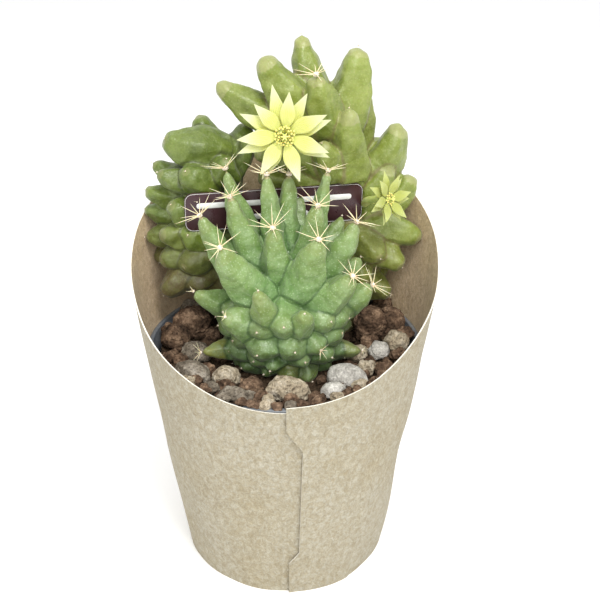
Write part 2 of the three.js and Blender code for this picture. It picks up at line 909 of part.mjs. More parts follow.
for (const head of heads) {
  (tufts[head.name] ?? []).forEach((place, i) => {
    const row = head.tubercles[place];
    const tip = tipOf(row);
    const direction = tip.clone().sub(axisPoint(head, row[3])).normalize();
    let solid = tuftSolid(tip, direction).subtract(allHeads).subtract(labelRoom);
    for (const room of flowerRooms) solid = solid.subtract(room);
    const name = head.name.replace("_head", "") + "_spines_" + (i + 1);
    plant.add(mesh(name, largestPiece(solid), colours.spine));
  });
}

export default plant;
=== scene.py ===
import math
import random

import bmesh
import bpy
import numpy as np
from mathutils import Matrix, Vector, noise


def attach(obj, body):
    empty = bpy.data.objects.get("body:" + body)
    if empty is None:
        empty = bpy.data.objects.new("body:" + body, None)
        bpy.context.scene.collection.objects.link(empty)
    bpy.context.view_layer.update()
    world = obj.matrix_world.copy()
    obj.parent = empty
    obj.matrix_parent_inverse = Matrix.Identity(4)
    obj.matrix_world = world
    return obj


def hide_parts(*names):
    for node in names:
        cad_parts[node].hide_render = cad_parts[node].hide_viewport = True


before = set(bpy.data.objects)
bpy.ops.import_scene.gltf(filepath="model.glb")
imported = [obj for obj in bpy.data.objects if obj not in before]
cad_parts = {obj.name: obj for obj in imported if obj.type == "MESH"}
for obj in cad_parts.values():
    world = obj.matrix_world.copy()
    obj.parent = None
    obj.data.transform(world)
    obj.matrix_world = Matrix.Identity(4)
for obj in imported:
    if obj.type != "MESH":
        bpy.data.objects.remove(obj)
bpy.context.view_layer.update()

print("potted cactus: frame loaded")
mm = 0.001
scene = bpy.context.scene

view = {
    "place": (0.0, -0.3477, 0.2728),
    "pitch": 0.446,  # radians below level
    "yaw": 0.017,  # radians to the right
    "lens": 60.8,
    "sensor": 36.0,
}
studio = {
    "floorHalf": 3.0,
    "floorColour": (0.96, 0.96, 0.955),
    "floorShade": (0.95, 0.95, 0.945),
    "skyColour": (1.0, 1.0, 1.0, 1),
    "skyStrength": 1.0,
    # place, power, size, colour
    "lamps": [
        ((0.14, -0.4, 0.8), 4.8, 0.24, (1.0, 0.985, 0.96)),
        ((0.0, -0.75, 0.55), 2.4, 0.45, (1.0, 0.99, 0.97)),
        ((-0.3, 0.45, 0.8), 1.0, 0.5, (1.0, 1.0, 1.0)),
    ],
    "aim": (0, 0, 0.1),
}


def setCamera():
    lens = bpy.data.cameras.new("viewCamera")
    camera = bpy.data.objects.new("viewCamera", lens)
    scene.collection.objects.link(camera)
    camera.location = view["place"]
    level = math.cos(view["pitch"])
    aim = Vector((math.sin(view["yaw"]) * level, math.cos(view["yaw"]) * level, -math.sin(view["pitch"])))
    camera.rotation_euler = aim.to_track_quat("-Z", "Y").to_euler()
    lens.sensor_width = view["sensor"]
    lens.lens = view["lens"]
    lens.clip_start = 0.01
    scene.camera = camera


def setLight():
    sky = bpy.data.worlds.new("studioSky")
    sky.use_nodes = True
    background = sky.node_tree.nodes["Background"]
    background.inputs["Color"].default_value = studio["skyColour"]
    background.inputs["Strength"].default_value = studio["skyStrength"]
    scene.world = sky
    for number, (spot, power, size, colour) in enumerate(studio["lamps"]):
        lamp = bpy.data.lights.new("softbox%d" % number, "AREA")
        lamp.energy = power
        lamp.size = size
        lamp.color = colour
        holder = bpy.data.objects.new("softbox%d" % number, lamp)
        scene.collection.objects.link(holder)
        holder.location = spot
        holder.rotation_euler = (Vector(studio["aim"]) - Vector(spot)).to_track_quat("-Z", "Y").to_euler()


setCamera()
setLight()
scene.view_settings.view_transform = "Standard"


def makeObject(name, points, faces, smooth=True):
    mesh = bpy.data.meshes.new(name)
    mesh.from_pydata([tuple(p) for p in points], [], faces)
    mesh.update()
    if smooth:
        mesh.polygons.foreach_set("use_smooth", [True] * len(mesh.polygons))
    made = bpy.data.objects.new(name, mesh)
    scene.collection.objects.link(made)
    return made


# Several closed forms gathered into one mesh.
class Gather:
    def __init__(self):
        self.points = []
        self.faces = []
        self.tags = []

    def add(self, points, faces, tags=0.0, basis=None):
        start = len(self.points)
        self.points.extend([tuple(p if basis is None else basis @ p) for p in points])
        self.faces.extend([tuple(start + i for i in face) for face in faces])
        self.tags.extend(list(tags) if hasattr(tags, "__len__") else [tags] * len(points))

    def build(self, name, tagName=None):
        made = makeObject(name, self.points, self.faces)
        if tagName:
            setTag(made, tagName, self.tags)
        return made


# Even steps round a circle, as (cosine, sine).
def around(sides):
    angles = [2 * math.pi * side / sides for side in range(sides)]
    return [(math.cos(angle), math.sin(angle)) for angle in angles]


def ringAt(centre, across, over, radius, sides):
    return [centre + (across * x + over * y) * radius for x, y in around(sides)]


# Level and upward directions square to a way.
def squareTo(way):
    across = way.cross(Vector((0, 0, 1)))
    across = across.normalized() if across.length > 0.05 else Vector((1, 0, 0))
    return across, across.cross(way).normalized()


# The skin over a row of rings of points, which is looped back to the first ring or left open.
def ringFaces(rings, sides, looped=False):
    faces = []
    for ring in range(rings if looped else rings - 1):
        near, far = ring * sides, (ring + 1) % rings * sides
        for side in range(sides):
            turn = (side + 1) % sides
            faces.append((near + side, near + turn, far + turn, far + side))
    return faces


# The flat ends of a row of rings.
def endFaces(rings, sides):
    return [tuple(reversed(range(sides))), tuple((rings - 1) * sides + i for i in range(sides))]


def setTag(piece, name, values):
    layer = piece.data.attributes.new(name, "FLOAT", "POINT")
    layer.data.foreach_set("value", np.asarray(values, dtype=np.float32))


def pointsOf(piece, field="co"):
    flat = np.empty(len(piece.data.vertices) * 3, dtype=np.float32)
    piece.data.vertices.foreach_get(field, flat)
    return flat.reshape(-1, 3)


def setPoints(piece, points):
    piece.data.vertices.foreach_set("co", np.asarray(points, dtype=np.float32).ravel())
    piece.data.update()


def bakeModifiers(piece):
    graph = bpy.context.evaluated_depsgraph_get()
    mesh = bpy.data.meshes.new_from_object(piece.evaluated_get(graph))
    old = piece.data
    piece.modifiers.clear()
    piece.data = mesh
    bpy.data.meshes.remove(old)
    mesh.polygons.foreach_set("use_smooth", [True] * len(mesh.polygons))
    return piece


# One skin over everything in a piece, then softened.
def fuse(piece, voxel, rounds, factor=0.5):
    remesh = piece.modifiers.new("fuse", "REMESH")
    remesh.mode = "VOXEL"
    remesh.voxel_size = voxel
    if rounds:
        soften = piece.modifiers.new("soften", "SMOOTH")
        soften.factor = factor
        soften.iterations = rounds
    return bakeModifiers(piece)


# Noise, and the distance to the nearest of scattered cells, at each of many points.
def noiseAt(points, scale, offset):
    return np.array([noise.noise(Vector(p) * scale + offset) for p in points.tolist()])


def cellsAt(points, scale, offset):
    return np.array([noise.voronoi(Vector(p) * scale + offset)[0][0] for p in points.tolist()])


# Moves each point along its normal by a list of (scale, depth) noise layers.
def roughen(piece, layers, seed=0.0):
    points = pointsOf(piece)
    shift = np.zeros(len(points), dtype=np.float32)
    offset = Vector((seed * 3.1, seed * 1.7, seed * 2.3))
    for scale, depth in layers:
        shift += depth * noiseAt(points, scale, offset)
    setPoints(piece, points + pointsOf(piece, "normal") * shift[:, None])


# Gives a piece its finishes, its place in the part and the nodes that it stands for.
def settle(piece, finishes, nodes=()):
    piece.data.materials.clear()
    for finish in finishes if isinstance(finishes, (list, tuple)) else [finishes]:
        piece.data.materials.append(finish)
    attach(piece, "root")
    if nodes:
        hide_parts(*nodes)


def newFinish(name):
    finish = bpy.data.materials.new(name)
    finish.use_nodes = True
    return finish, finish.node_tree


# An input takes another node's output, or a plain value on its own socket.
def joinInputs(tree, node, inputs):
    for key, value in inputs.items():
        if hasattr(value, "is_output"):
            tree.links.new(value, node.inputs[key])
        else:
            node.inputs[key].default_value = value


def addNode(tree, kind, settings=None, inputs=None):
    node = tree.nodes.new(kind)
    for key, value in (settings or {}).items():
        setattr(node, key, value)
    joinInputs(tree, node, inputs or {})
    return node


# The object's own position, stretched for a pattern.
def place(tree, stretch=(1, 1, 1)):
    where = addNode(tree, "ShaderNodeTexCoord").outputs["Object"]
    return addNode(tree, "ShaderNodeMapping", None, {"Vector": where, "Scale": stretch}).outputs["Vector"]


def grain(tree, scale, detail=3.0, roughness=0.6, stretch=(1, 1, 1), distortion=0.0):
    values = {
        "Vector": place(tree, stretch), "Scale": scale, "Detail": detail,
        "Roughness": roughness, "Distortion": distortion,
    }
    return addNode(tree, "ShaderNodeTexNoise", None, values).outputs["Fac"]


def cells(tree, scale):
    values = {"Vector": place(tree), "Scale": scale}
    return addNode(tree, "ShaderNodeTexVoronoi", None, values).outputs["Distance"]


def tag(tree, name):
    return addNode(tree, "ShaderNodeAttribute", {"attribute_name": name}).outputs["Fac"]


def ramp(tree, value, stops):
    node = addNode(tree, "ShaderNodeValToRGB", None, {"Fac": value})
    band = node.color_ramp
    while len(band.elements) < len(stops):
        band.elements.new(0.5)
    for element, (position, colour) in zip(band.elements, stops):
        element.position = position
        element.color = (*colour, 1) if hasattr(colour, "__len__") else (colour, colour, colour, 1)
    return node.outputs["Color"]


def blend(tree, share, first, second, mode="MIX"):
    first, second = (value if hasattr(value, "is_output") else (*value, 1) for value in (first, second))
    inputs = {0: share, 6: first, 7: second}
    return addNode(tree, "ShaderNodeMix", {"data_type": "RGBA", "blend_type": mode}, inputs).outputs[2]


def reckon(tree, operation, first, second=None):
    inputs = {0: first}
    if second is not None:
        inputs[1] = second
    return addNode(tree, "ShaderNodeMath", {"operation": operation}, inputs).outputs[0]


# One colour or pattern laid over another and darkening it.
def tint(tree, tone, pattern):
    return blend(tree, 1.0, tone, pattern, "MULTIPLY")


def mottle(tree, scale, detail, roughness, stops):
    return ramp(tree, grain(tree, scale, detail, roughness), stops)


# Gives a finish its colour, its plain values or patterns, and bumps of (height, strength, distance).
def dress(finish, tone, values, bumps=()):
    tree = finish.node_tree
    shader = tree.nodes["Principled BSDF"]
    inputs = {"Base Color": tone, **values}
    for height, strength, distance in bumps:
        bump = {"Height": height, "Strength": strength, "Distance": distance}
        if "Normal" in inputs:
            bump["Normal"] = inputs["Normal"]
        inputs["Normal"] = addNode(tree, "ShaderNodeBump", None, bump).outputs["Normal"]
    joinInputs(tree, shader, inputs)
    return finish


def makeFloor():
    half = studio["floorHalf"]
    corners = [(-half, -half, 0), (half, -half, 0), (half, half, 0), (-half, half, 0)]
    floor = makeObject("studioFloor", corners, [(0, 1, 2, 3)], smooth=False)
    finish, tree = newFinish("floorPaint")
    tone = ramp(tree, grain(tree, 3.0), [(0.3, studio["floorShade"]), (0.7, studio["floorColour"])])
    floor.data.materials.append(dress(finish, tone, {"Roughness": 0.7, "Specular IOR Level": 0.2}))


makeFloor()
print("potted cactus: camera, floor and light set")

pot = {
    "height": 90.0,
    "rimRadius": 52.5,
    "baseRadius": 36.0,
    "wall": 1.2,
    "floor": 1.8,
    "bandHeight": 11.0,
    "bandStep": 1.6,
    "drainRadius": 2.2,
    "drainCircle": 25.0,
    "drains": 5,
    "sides": 144,
    "colour": (0.13, 0.15, 0.18),
    "dusty": (0.22, 0.23, 0.235),
}
sleeve = {
    "board": 0.5,
    "cadBoard": 0.6,
    "taper": 0.151,
    "rimMiddle": 121.6,
    "rimRise": 31.2,
    "overlap": 18.0,
    "drift": 3.2,
    "columns": 300,
    "rows": 72,
    "clearance": 0.3,
    # the free end's outline: height, distance right of the middle
    "edge": [(0, 1.3), (16, 1.3), (21, 5.8), (71, 6.2), (80, 0.3), (200, 0.3)],
    "lap": (0.6, 0.12),  # where the free end climbs to pass over the start, in radians before it
    "shaped": 0.92,  # the share of the sheet after which it takes the free end's outline
    "ripple": 1.3,  # how far the paper waves in and out
    "waves": (0.06, 0.9),  # the shares of the sheet between which it ripples
    "calm": 40.0,  # how far from the pot's rim it first ripples fully
    "curl": 0.45,  # how far the free edge stands off
    "curlFrom": 0.985,  # the share of the sheet where the curl starts
    "outside": [(0.295, 0.25, 0.16), (0.365, 0.325, 0.235), (0.43, 0.40, 0.315)],
    # inside tones: the kraft's own colour brightened with painted light, standing in for light that shines
    # through the paper into the shaded inside
    "inside": [(0.47, 0.345, 0.21), (0.56, 0.425, 0.27), (0.645, 0.51, 0.34)],
    "cutEdge": (0.82, 0.80, 0.72),
}


# A turned form from an outline of (radius, height) in millimetres; the outline is closed on itself.
def turnedForm(outline, sides):
    points = []
    for radius, height in outline:
        points += [(radius * x * mm, radius * y * mm, height * mm) for x, y in around(sides)]
    return points, ringFaces(len(outline), sides, looped=True)


def sleeveRadius(height):
    return pot["rimRadius"] + sleeve["clearance"] + sleeve["taper"] * (height - pot["height"])


def plasticFinish():
    finish, tree = newFinish("slatePlastic")
    dust = mottle(tree, 90, 5, 0.65, [(0.35, 0.0), (0.75, 1.0)])
    tone = blend(tree, dust, pot["colour"], pot["dusty"])
    fleck = mottle(tree, 900, 2, 0.5, [(0.45, 0.85), (0.6, 1.0)])
    rough = mottle(tree, 220, 4, 0.6, [(0.3, 0.38), (0.7, 0.6)])
    bumps = [(grain(tree, 2600, 2, 0.5), 0.25, 0.0002), (grain(tree, 160, 2, 0.5), 0.2, 0.001)]
    return dress(finish, tint(tree, tone, fleck), {"Roughness": rough}, bumps)


def makePot():
    bandBottom = pot["height"] - pot["bandHeight"]
    bandRadius = pot["rimRadius"] - sleeve["taper"] * pot["bandHeight"]
    wallTop = bandRadius - pot["bandStep"]
    rim = pot["rimRadius"]
    top = pot["height"]
    step = pot["bandStep"]
    inside = wallTop - pot["wall"]
    foot = pot["baseRadius"]
    slope = (wallTop - foot) / bandBottom
    outline = [
        (foot - 1.0, 0.0), (foot - 0.25, 0.25), (foot + 0.05, 0.9),
        (foot + slope * 30, 30), (foot + slope * 60, 60),
        (wallTop - 0.1, bandBottom - 0.7), (wallTop + 0.2, bandBottom - 0.15),
        (bandRadius - 0.35, bandBottom), (bandRadius, bandBottom + 0.4),
        (rim - 0.5, top - 3.2), (rim, top - 2.6), (rim, top - 0.5),
        (rim - 0.4, top - 0.1), (rim - step + 0.3, top), (rim - step - 0.1, top - 0.3),
        (rim - step - 0.35, top - 2.5), (inside + 0.3, bandBottom + 1.5), (inside, bandBottom),
        (foot + slope * 40 - pot["wall"], 40), (foot - pot["wall"], pot["floor"] + 0.8),
        (foot - pot["wall"] - 0.9, pot["floor"]), (30.0, pot["floor"]), (0.4, pot["floor"]),
        (0.4, 0.0), (30.0, 0.0),
    ]
    points, faces = turnedForm(outline, pot["sides"])
    piece = makeObject("nurseryPot", points, faces)
    holes = Gather()
    radius = pot["drainRadius"]
    points, faces = turnedForm([(0.0001, -3), (radius, -3), (radius, 5), (0.0001, 5)], 32)
    for number in range(pot["drains"]):
        angle = 2 * math.pi * (number + 0.5) / pot["drains"]
        centre = (pot["drainCircle"] * math.cos(angle), pot["drainCircle"] * math.sin(angle))
        holes.add([(x + centre[0] * mm, y + centre[1] * mm, z) for x, y, z in points], faces)
    drill = holes.build("drill")
    cut = piece.modifiers.new("drains", "BOOLEAN")
    cut.operation = "DIFFERENCE"
    cut.object = drill
    cut.solver = "EXACT"
    bakeModifiers(piece)
    bpy.data.objects.remove(drill)
    piece.data.set_sharp_from_angle(angle=math.radians(40))
    settle(piece, plasticFinish(), ["nursery_pot"])


makePot()
print("potted cactus: pot made")


def paperFinish(name, tones, strength):
    finish, tree = newFinish(name)
    worm = grain(tree, 520, 6, 0.74, (1, 1, 0.8), 0.6)
    cloud = ramp(tree, worm, [(0.34, tones[0]), (0.5, tones[1]), (0.63, tones[2])])
    warm, cold = (0.96, 0.93, 0.86), (1.04, 1.05, 1.08)
    fibre = mottle(tree, 26, 3, 0.5, [(0.3, warm), (0.5, 1.0), (0.7, cold)])
    fleck = mottle(tree, 1700, 3, 0.6, [(0.36, 0.87), (0.5, 1.0), (0.64, 1.12)])
    tone = tint(tree, tint(tree, cloud, fibre), fleck)
    values = {"Roughness": 0.85, "Specular IOR Level": 0.25, "Sheen Weight": 0.08}
    bumps = [(worm, 0.9 * strength, 0.0009), (grain(tree, 120, 3, 0.6), 0.45 * strength, 0.002)]
    return dress(finish, tone, values, bumps)


def edgeFinish():
    finish, tree = newFinish("cutPaperEdge")
    tone = mottle(tree, 1200, 3, 0.6, [(0.35, (0.68, 0.64, 0.54)), (0.6, sleeve["cutEdge"])])
    return dress(finish, tone, {"Roughness": 0.9}, [(grain(tree, 2500, 2, 0.6), 0.4, 0.0002)])


def makeSleeve():
    columns, rows = sleeve["columns"], sleeve["rows"]
    start = sleeve["overlap"] / sleeveRadius(pot["height"])
    end = -2 * math.pi
    frontRim = sleeve["rimMiddle"] - sleeve["rimRise"]
    climbFrom, climbTo = (start + end + before for before in sleeve["lap"])
    waveFrom, waveTo = sleeve["waves"]
    edgeHeights = [h for h, _ in sleeve["edge"]]
    edgeSides = [s for _, s in sleeve["edge"]]
    inset = (sleeve["cadBoard"] - sleeve["board"]) / 2
    points = []
    for layer in (inset, inset + sleeve["board"]):
        for row in range(rows + 1):
            up = row / rows
            for column in range(columns + 1):
                share = column / columns
                near = max(0.0, (share - sleeve["shaped"]) / (1 - sleeve["shaped"]))
                side = float(np.interp(up * frontRim, edgeHeights, edgeSides)) / sleeveRadius(pot["height"])
                angle = start + (end - start) * share + side * near
                rim = sleeve["rimMiddle"] - sleeve["rimRise"] * math.cos(angle)
                height = (rim + sleeve["drift"] * (share - 0.5)) * up
                lift = min(max((climbFrom - angle) / (climbFrom - climbTo), 0.0), 1.0)
                lift = lift * lift * (3 - 2 * lift)
                radius = sleeveRadius(height) + layer + lift * (sleeve["cadBoard"] + sleeve["clearance"])
                curl = max(0.0, (share - sleeve["curlFrom"]) / (1 - sleeve["curlFrom"]))
                radius += sleeve["curl"] * curl ** 2
                if waveFrom <= share <= waveTo:
                    free = min(1.0, abs(height - pot["height"]) / sleeve["calm"])
                    wave = noise.noise(Vector((math.sin(angle) * 2, math.cos(angle) * 2, height * 0.03)))
                    radius += sleeve["ripple"] * free * wave
                points.append((radius * math.sin(angle) * mm, -radius * math.cos(angle) * mm, height * mm))
    across = columns + 1

    def at(layer, row, column):
        return (layer * (rows + 1) + row) * across + column

    # one strip across the sheet's edge, from one face to the other
    def strip(near, far, here, there):
        return (at(near, *here), at(near, *there), at(far, *there), at(far, *here))

    faces = []
    kinds = []  # outside, inside and cut edge
    for row in range(rows):
        for column in range(columns):
            corner = ((row, column), (row + 1, column), (row + 1, column + 1), (row, column + 1))
            faces.append(tuple(at(1, r, c) for r, c in corner))
            faces.append(tuple(at(0, r, c) for r, c in reversed(corner)))
            kinds.extend((0, 1))
        faces.append(strip(0, 1, (row, 0), (row + 1, 0)))
        faces.append(strip(1, 0, (row, columns), (row + 1, columns)))
        kinds.extend((2, 2))
    for column in range(columns):
        faces.append(strip(0, 1, (rows, column), (rows, column + 1)))
        faces.append(strip(1, 0, (0, column), (0, column + 1)))
        kinds.extend((2, 2))
    piece = makeObject("paperSleeve", points, faces)
    outside = paperFinish("speckledPaper", sleeve["outside"], 1.0)
    # the inside finish carries painted light from the paper's brightened tones
    inside = paperFinish("kraftPaperPaintedGlow", sleeve["inside"], 0.7)
    settle(piece, [outside, inside, edgeFinish()], ["paper_sleeve"])
    piece.data.polygons.foreach_set("material_index", kinds)
    piece.data.set_sharp_from_angle(angle=math.radians(50))


makeSleeve()
print("potted cactus: paper sleeve made")

# The label comes before the heads, which keep clear of it.
label = {
    "width": 68.0,
    "height": 15.5,
    "corner": 3.2,
    "thick": 0.8,
    "centre": (-3.4, 12.5, 57.5),
    "turn": 10,
    "lean": 5,
    "stakeTop": 8.0,
    "stakeTip": 3.0,
    "buried": 32.0,
    "colour": (0.042, 0.014, 0.018),
    "print": (0.80, 0.80, 0.78),
    "lines": [2.6, -3.2],  # heights of the two lines on the plate
    # bars that stand for the lettering: line, start, length
    "bars": [(0, -29.5, 27), (0, 0.5, 29), (1, -13, 26)],
}


def labelBasis():
    x, y, height = label["centre"]
    turn = Matrix.Rotation(math.radians(label["turn"]), 4, "Z")
    lean = Matrix.Rotation(math.pi / 2 + math.radians(label["lean"]), 4, "X")
    return Matrix.Translation(Vector((x, y, soilTop + height)) * mm) @ turn @ lean


soilTop = 82.0
fingerShape = {
    "shares": [0, 0.18, 0.34, 0.48, 0.62, 0.74, 0.84, 0.91, 0.96, 0.99, 1.0],
    # girths at those shares for slender fingers, stout cones and the crowded mounds
    "finger": [0.75, 1.0, 1.03, 0.97, 0.87, 0.75, 0.6, 0.45, 0.31, 0.18, 0.04],
    "cone": [0.85, 1.06, 1.1, 1.04, 0.93, 0.8, 0.66, 0.53, 0.4, 0.22, 0.04],
    "mound": [0.75, 1.0, 1.09, 1.07, 0.96, 0.81, 0.63, 0.46, 0.32, 0.18, 0.04],
    "facets": {"finger": 0.7, "cone": 0.85, "mound": 1.0},  # how flat the sides are between their keels
    "stray": 1.3,  # how far the crowded mounds stray from their rows
    "out": 0.62,  # where a tubercle bends, as shares of its way out and up
    "up": 0.3,
    "sides": 26,
    "flat": 0.88,  # the upper side is flatter than
    "keel": 1.04,  # the keeled under side
    "bumps": [(100, 0.001), (230, 0.0005), (480, 0.00016)],  # noise scale and depth over the skin
    "hollow": 0.0018,  # the gap to a neighbour over which painted shade darkens a crease
    "paperGap": 0.9,  # the least clearance to the sleeve
    "sunk": 4.0,  # how far the heads stand in the soil
}
frontHead = {
    "name": "frontHead",
    "node": "front_head",
    "slot": "front_head_skin",
    "axis": [(0, -1, -5), (0, -2, 26), (0, 1, 44)],
    "core": 19.0,
    "outline": "finger",
    "voxel": 0.42,
    # tip x, tip y, tip height, root height, girth
    "tubercles": [
        (-21, 5, 75, 32, 11.5), (-6, -2, 75, 34, 10.5), (2, 4, 73, 34, 10), (16, 2, 75, 28, 11.5),
        (-19, -6, 68, 28, 13), (-4, -16, 60, 30, 13), (12, -10, 66, 32, 11), (-30, -6, 61, 24, 13),
        (-22, -24, 56, 24, 16), (12, -22, 58, 26, 17), (26, -8, 59, 26, 14), (24, -22, 44, 21, 16),
        (-9, -31, 43, 13, 12.5), (7, -31, 34, 13, 13), (32, -12, 36, 18, 15), (-33, -12, 34, 20, 12.5),
        (-21, -25, 30, 18, 17), (-31, -16, 11, 9, 9), (29, -12, 9, 9, 10), (6, 15, 62, 34, 12),
        (-14, 15, 56, 30, 13), (22, 12, 54, 28, 13), (-27, 9, 43, 22, 14), (29, 5, 40, 20, 14),
    ],
    # root height, reach, rise, number, girth
    "rows": [(5, 20.5, -2.5, 8, 11), (11, 24, -1.5, 8, 12.5), (17.5, 26.5, 0, 8, 14), (24.5, 27, 2, 7, 15)],
    "turn": (170, 380),
    "aged": {17: 0.9, 18: 0.7, 28: 0.6, 29: 0.3, 12: 0.1},  # tubercles that have yellowed, and how much
}
rearHead = {
    "name": "rearHead",
    "node": "rear_head",
    "slot": "rear_head_skin",
    "axis": [(17, 24, -5), (27, 29, 44), (15, 28, 92)],
    "core": 14.0,
    "outline": "cone",
    "voxel": 0.6,
    "tubercles": [
        (-24, 24, 102, 80, 16), (-7, 20, 112, 84, 18), (7, 32, 118, 86, 13.5), (28, 30, 114, 82, 18),
        (12, 14, 107, 82, 15), (24, 14, 95, 58, 15), (31, 34, 97, 70, 14), (14, 10, 83, 66, 13),
        (0, 18, 83, 66, 15), (3, 19, 70, 54, 15), (-9, 21, 68, 58, 14), (-11, 18, 78, 72, 14),
        (44, 26, 85, 56, 17), (40, 20, 70, 52, 15), (50, 24, 66, 46, 15), (53, 18, 42, 48, 15),
        (46, 13, 32, 40, 14), (37, 10, 37, 42, 13), (32, 12, 26, 30, 12), (42, 15, 19, 24, 12.5),
    ],
    "rows": [(22, 20, -2, 4, 15), (44, 22, 2, 4, 16), (66, 20, 12, 4, 16)],
    "turn": (30, 175),
    "aged": {16: 0.4, 17: 0.5, 18: 0.6, 19: 0.7, 6: 0.3},
}
leftHead = {
    "name": "leftHead",
    "node": "left_head",
    "slot": "rear_head_skin",
    "axis": [(-7, 20, -5), (-27, 22, 42), (-20, 25, 78)],
    "core": 13.0,
    "outline": "cone",
    "voxel": 0.55,
    "tubercles": [
        (-44, 17, 83, 76, 16), (-32, 29, 88, 72, 14), (-14, 29, 85, 68, 14), (-21, 11, 77, 66, 13),
        (-36, 9, 73, 64, 14), (-47, 14, 71, 62, 11), (-32, 6, 62, 50, 14), (-42, 9, 60, 52, 13.5),
        (-36, 6, 49, 44, 14), (-46, 9, 48, 44, 13), (-38, 6, 36, 38, 14), (-47, 10, 36, 40, 13),
        (-47, 10, 22, 36, 14.5), (-36, 8, 25, 32, 13), (-50, 23, 72, 62, 11), (-53, 20, 62, 56, 11),
        (-54, 24, 53, 50, 11), (-54, 19, 43, 44, 11), (-52, 24, 32, 38, 12),
    ],
    "rows": [(26, 17, 0, 3, 14), (48, 19, 6, 3, 15)],
    "turn": (55, 165),
    "aged": {9: 0.25, 10: 0.5, 11: 0.4, 12: 1.0, 13: 0.9, 17: 0.3, 18: 0.8},
}


# A head's axis is a parabola through its three points, read at a height above the soil.
def axisPoint(head, height):
    heights = [p[2] for p in head["axis"]]
    high = min(max(height, heights[0]), heights[2])
    spot = [0.0, 0.0]
    for i in range(3):
        weight = 1.0
        for j in range(3):
            if j != i:
                weight *= (high - heights[j]) / (heights[i] - heights[j])
        spot[0] += weight * head["axis"][i][0]
        spot[1] += weight * head["axis"][i][1]
    return Vector((spot[0], spot[1], soilTop + high)) * mm


def tuberclesOf(head):
    rows = [(*row, False) for row in head["tubercles"]]
    start, stop = head["turn"]
    dice = random.Random(len(rows))
    for number, (height, reach, rise, count, girth) in enumerate(head["rows"]):
        centre = axisPoint(head, height) / mm
        for i in range(count):
            angle = math.radians(start + (stop - start) * (i + (number % 2) / 2) / count)
            angle += math.radians(dice.uniform(-5, 5)) * fingerShape["stray"]
            far = reach + dice.uniform(-1.2, 0.6) * fingerShape["stray"]
            x, y = centre.x + far * math.cos(angle), centre.y + far * math.sin(angle)
            high = height + rise + dice.uniform(-1.6, 1.6) * fingerShape["stray"]
            wide = girth * (1 + dice.uniform(-0.12, 0.16) * fingerShape["stray"])
            rows.append((x, y, high, height, wide, True))
    return rows


# The centre line of a tubercle, as (point, direction, radius, share of its length).
def fingerLine(head, row):
    root = axisPoint(head, row[3])
    tip = Vector((row[0], row[1], soilTop + row[2])) * mm
    elbow = Vector((
        root.x + (tip.x - root.x) * fingerShape["out"],
        root.y + (tip.y - root.y) * fingerShape["out"],
        root.z + (tip.z - root.z) * fingerShape["up"],
    ))
    girths = fingerShape["mound" if row[5] else head["outline"]]
    line = []
    for share in np.linspace(0, 1, 25):
        point = root * (1 - share) ** 2 + elbow * (2 * share * (1 - share)) + tip * share ** 2
        along = ((elbow - root) * (1 - share) + (tip - elbow) * share).normalized()
        radius = float(np.interp(share, fingerShape["shares"], girths)) * row[4] / 2 * mm
        line.append((point, along, radius, float(share)))
    return line


def fingerForm(line, seed, facets):
    sides = fingerShape["sides"]
    keels = 4 + int(seed) % 2
    wedge = 2 * math.pi / keels
    points = []
    for point, along, radius, share in line:
        across, over = squareTo(along)
        for step in range(sides):
            angle = 2 * math.pi * step / sides
            height = math.sin(angle) * fingerShape["flat" if math.sin(angle) > 0 else "keel"]
            lump = 1 + 0.09 * noise.noise(Vector((math.cos(angle), math.sin(angle), share * 3 + seed * 5.3)))
            side = math.cos(wedge / 2) / math.cos((angle + seed) % wedge - wedge / 2)
            lump += facets * (side - 0.86) * min(1.0, 5 * (1 - share))
            points.append(point + (across * math.cos(angle) + over * height) * radius * lump)
    points.append(line[0][0] - line[0][1] * 0.0005)
    points.append(line[-1][0] + line[-1][1] * 0.0001)
    faces = ringFaces(len(line), sides)
    root, tip = len(points) - 2, len(points) - 1
    last = root - sides
    for side in range(sides):
        turn = (side + 1) % sides
        faces.append((root, turn, side))
        faces.append((tip, last + side, last + turn))
    return points, faces


def coreForm(head):
    heights = [p[2] for p in head["axis"]]
    shares = np.linspace(0, 1, 30)
    radii = np.interp(shares, [0, 0.35, 0.65, 0.92, 1.0], [0.75, 1.0, 0.95, 0.6, 0.15]) * head["core"] * mm
    line = []
    for share, radius in zip(shares, radii):
        point = axisPoint(head, heights[0] + (heights[2] - heights[0]) * share)
        line.append((point, Vector((0, 0, 1)), float(radius), share))
    return fingerForm(line, 0.5, 0)


# How ripe (near its tip) each point of a head is, how much painted shade its crease takes (near a neighbour),
# and how much painted shade it takes low on the head.
def readHead(piece, lines, aged):
    points = pointsOf(piece)
    first = np.full(len(points), 9.0)
    second = np.full(len(points), 9.0)
    ripe = np.zeros(len(points))
    yellow = np.zeros(len(points))
    for number, line in enumerate(lines):
        nearest = np.full(len(points), 9.0)
        share = np.zeros(len(points))
        for point, _, radius, at in line[::2]:
            gap = np.linalg.norm(points - np.array(point), axis=1) - radius
            closer = gap < nearest
            nearest[closer] = gap[closer]
            share[closer] = at
        wins = nearest < first
        second = np.where(wins, first, np.minimum(second, nearest))
        ripe[wins] = share[wins]
        yellow[wins] = aged.get(number, 0.0)
        first[wins] = nearest[wins]
    hollow = 1 - np.clip((second - first) / fingerShape["hollow"], 0, 1)
    setTag(piece, "ripe", ripe)
    setTag(piece, "aged", yellow)
    # painted shade: a mask that grows towards the bottom of each head
    setTag(piece, "low", np.clip((0.116 - points[:, 2]) / 0.024, 0, 1))
    setTag(piece, "hollow", hollow * np.clip((1.03 - ripe) * 5, 0, 1))


# A colour laid on where a pattern is bright, up to a share.
def layOn(tree, tone, pattern, share, colour):
    return blend(tree, reckon(tree, "MULTIPLY", pattern, share), tone, colour)


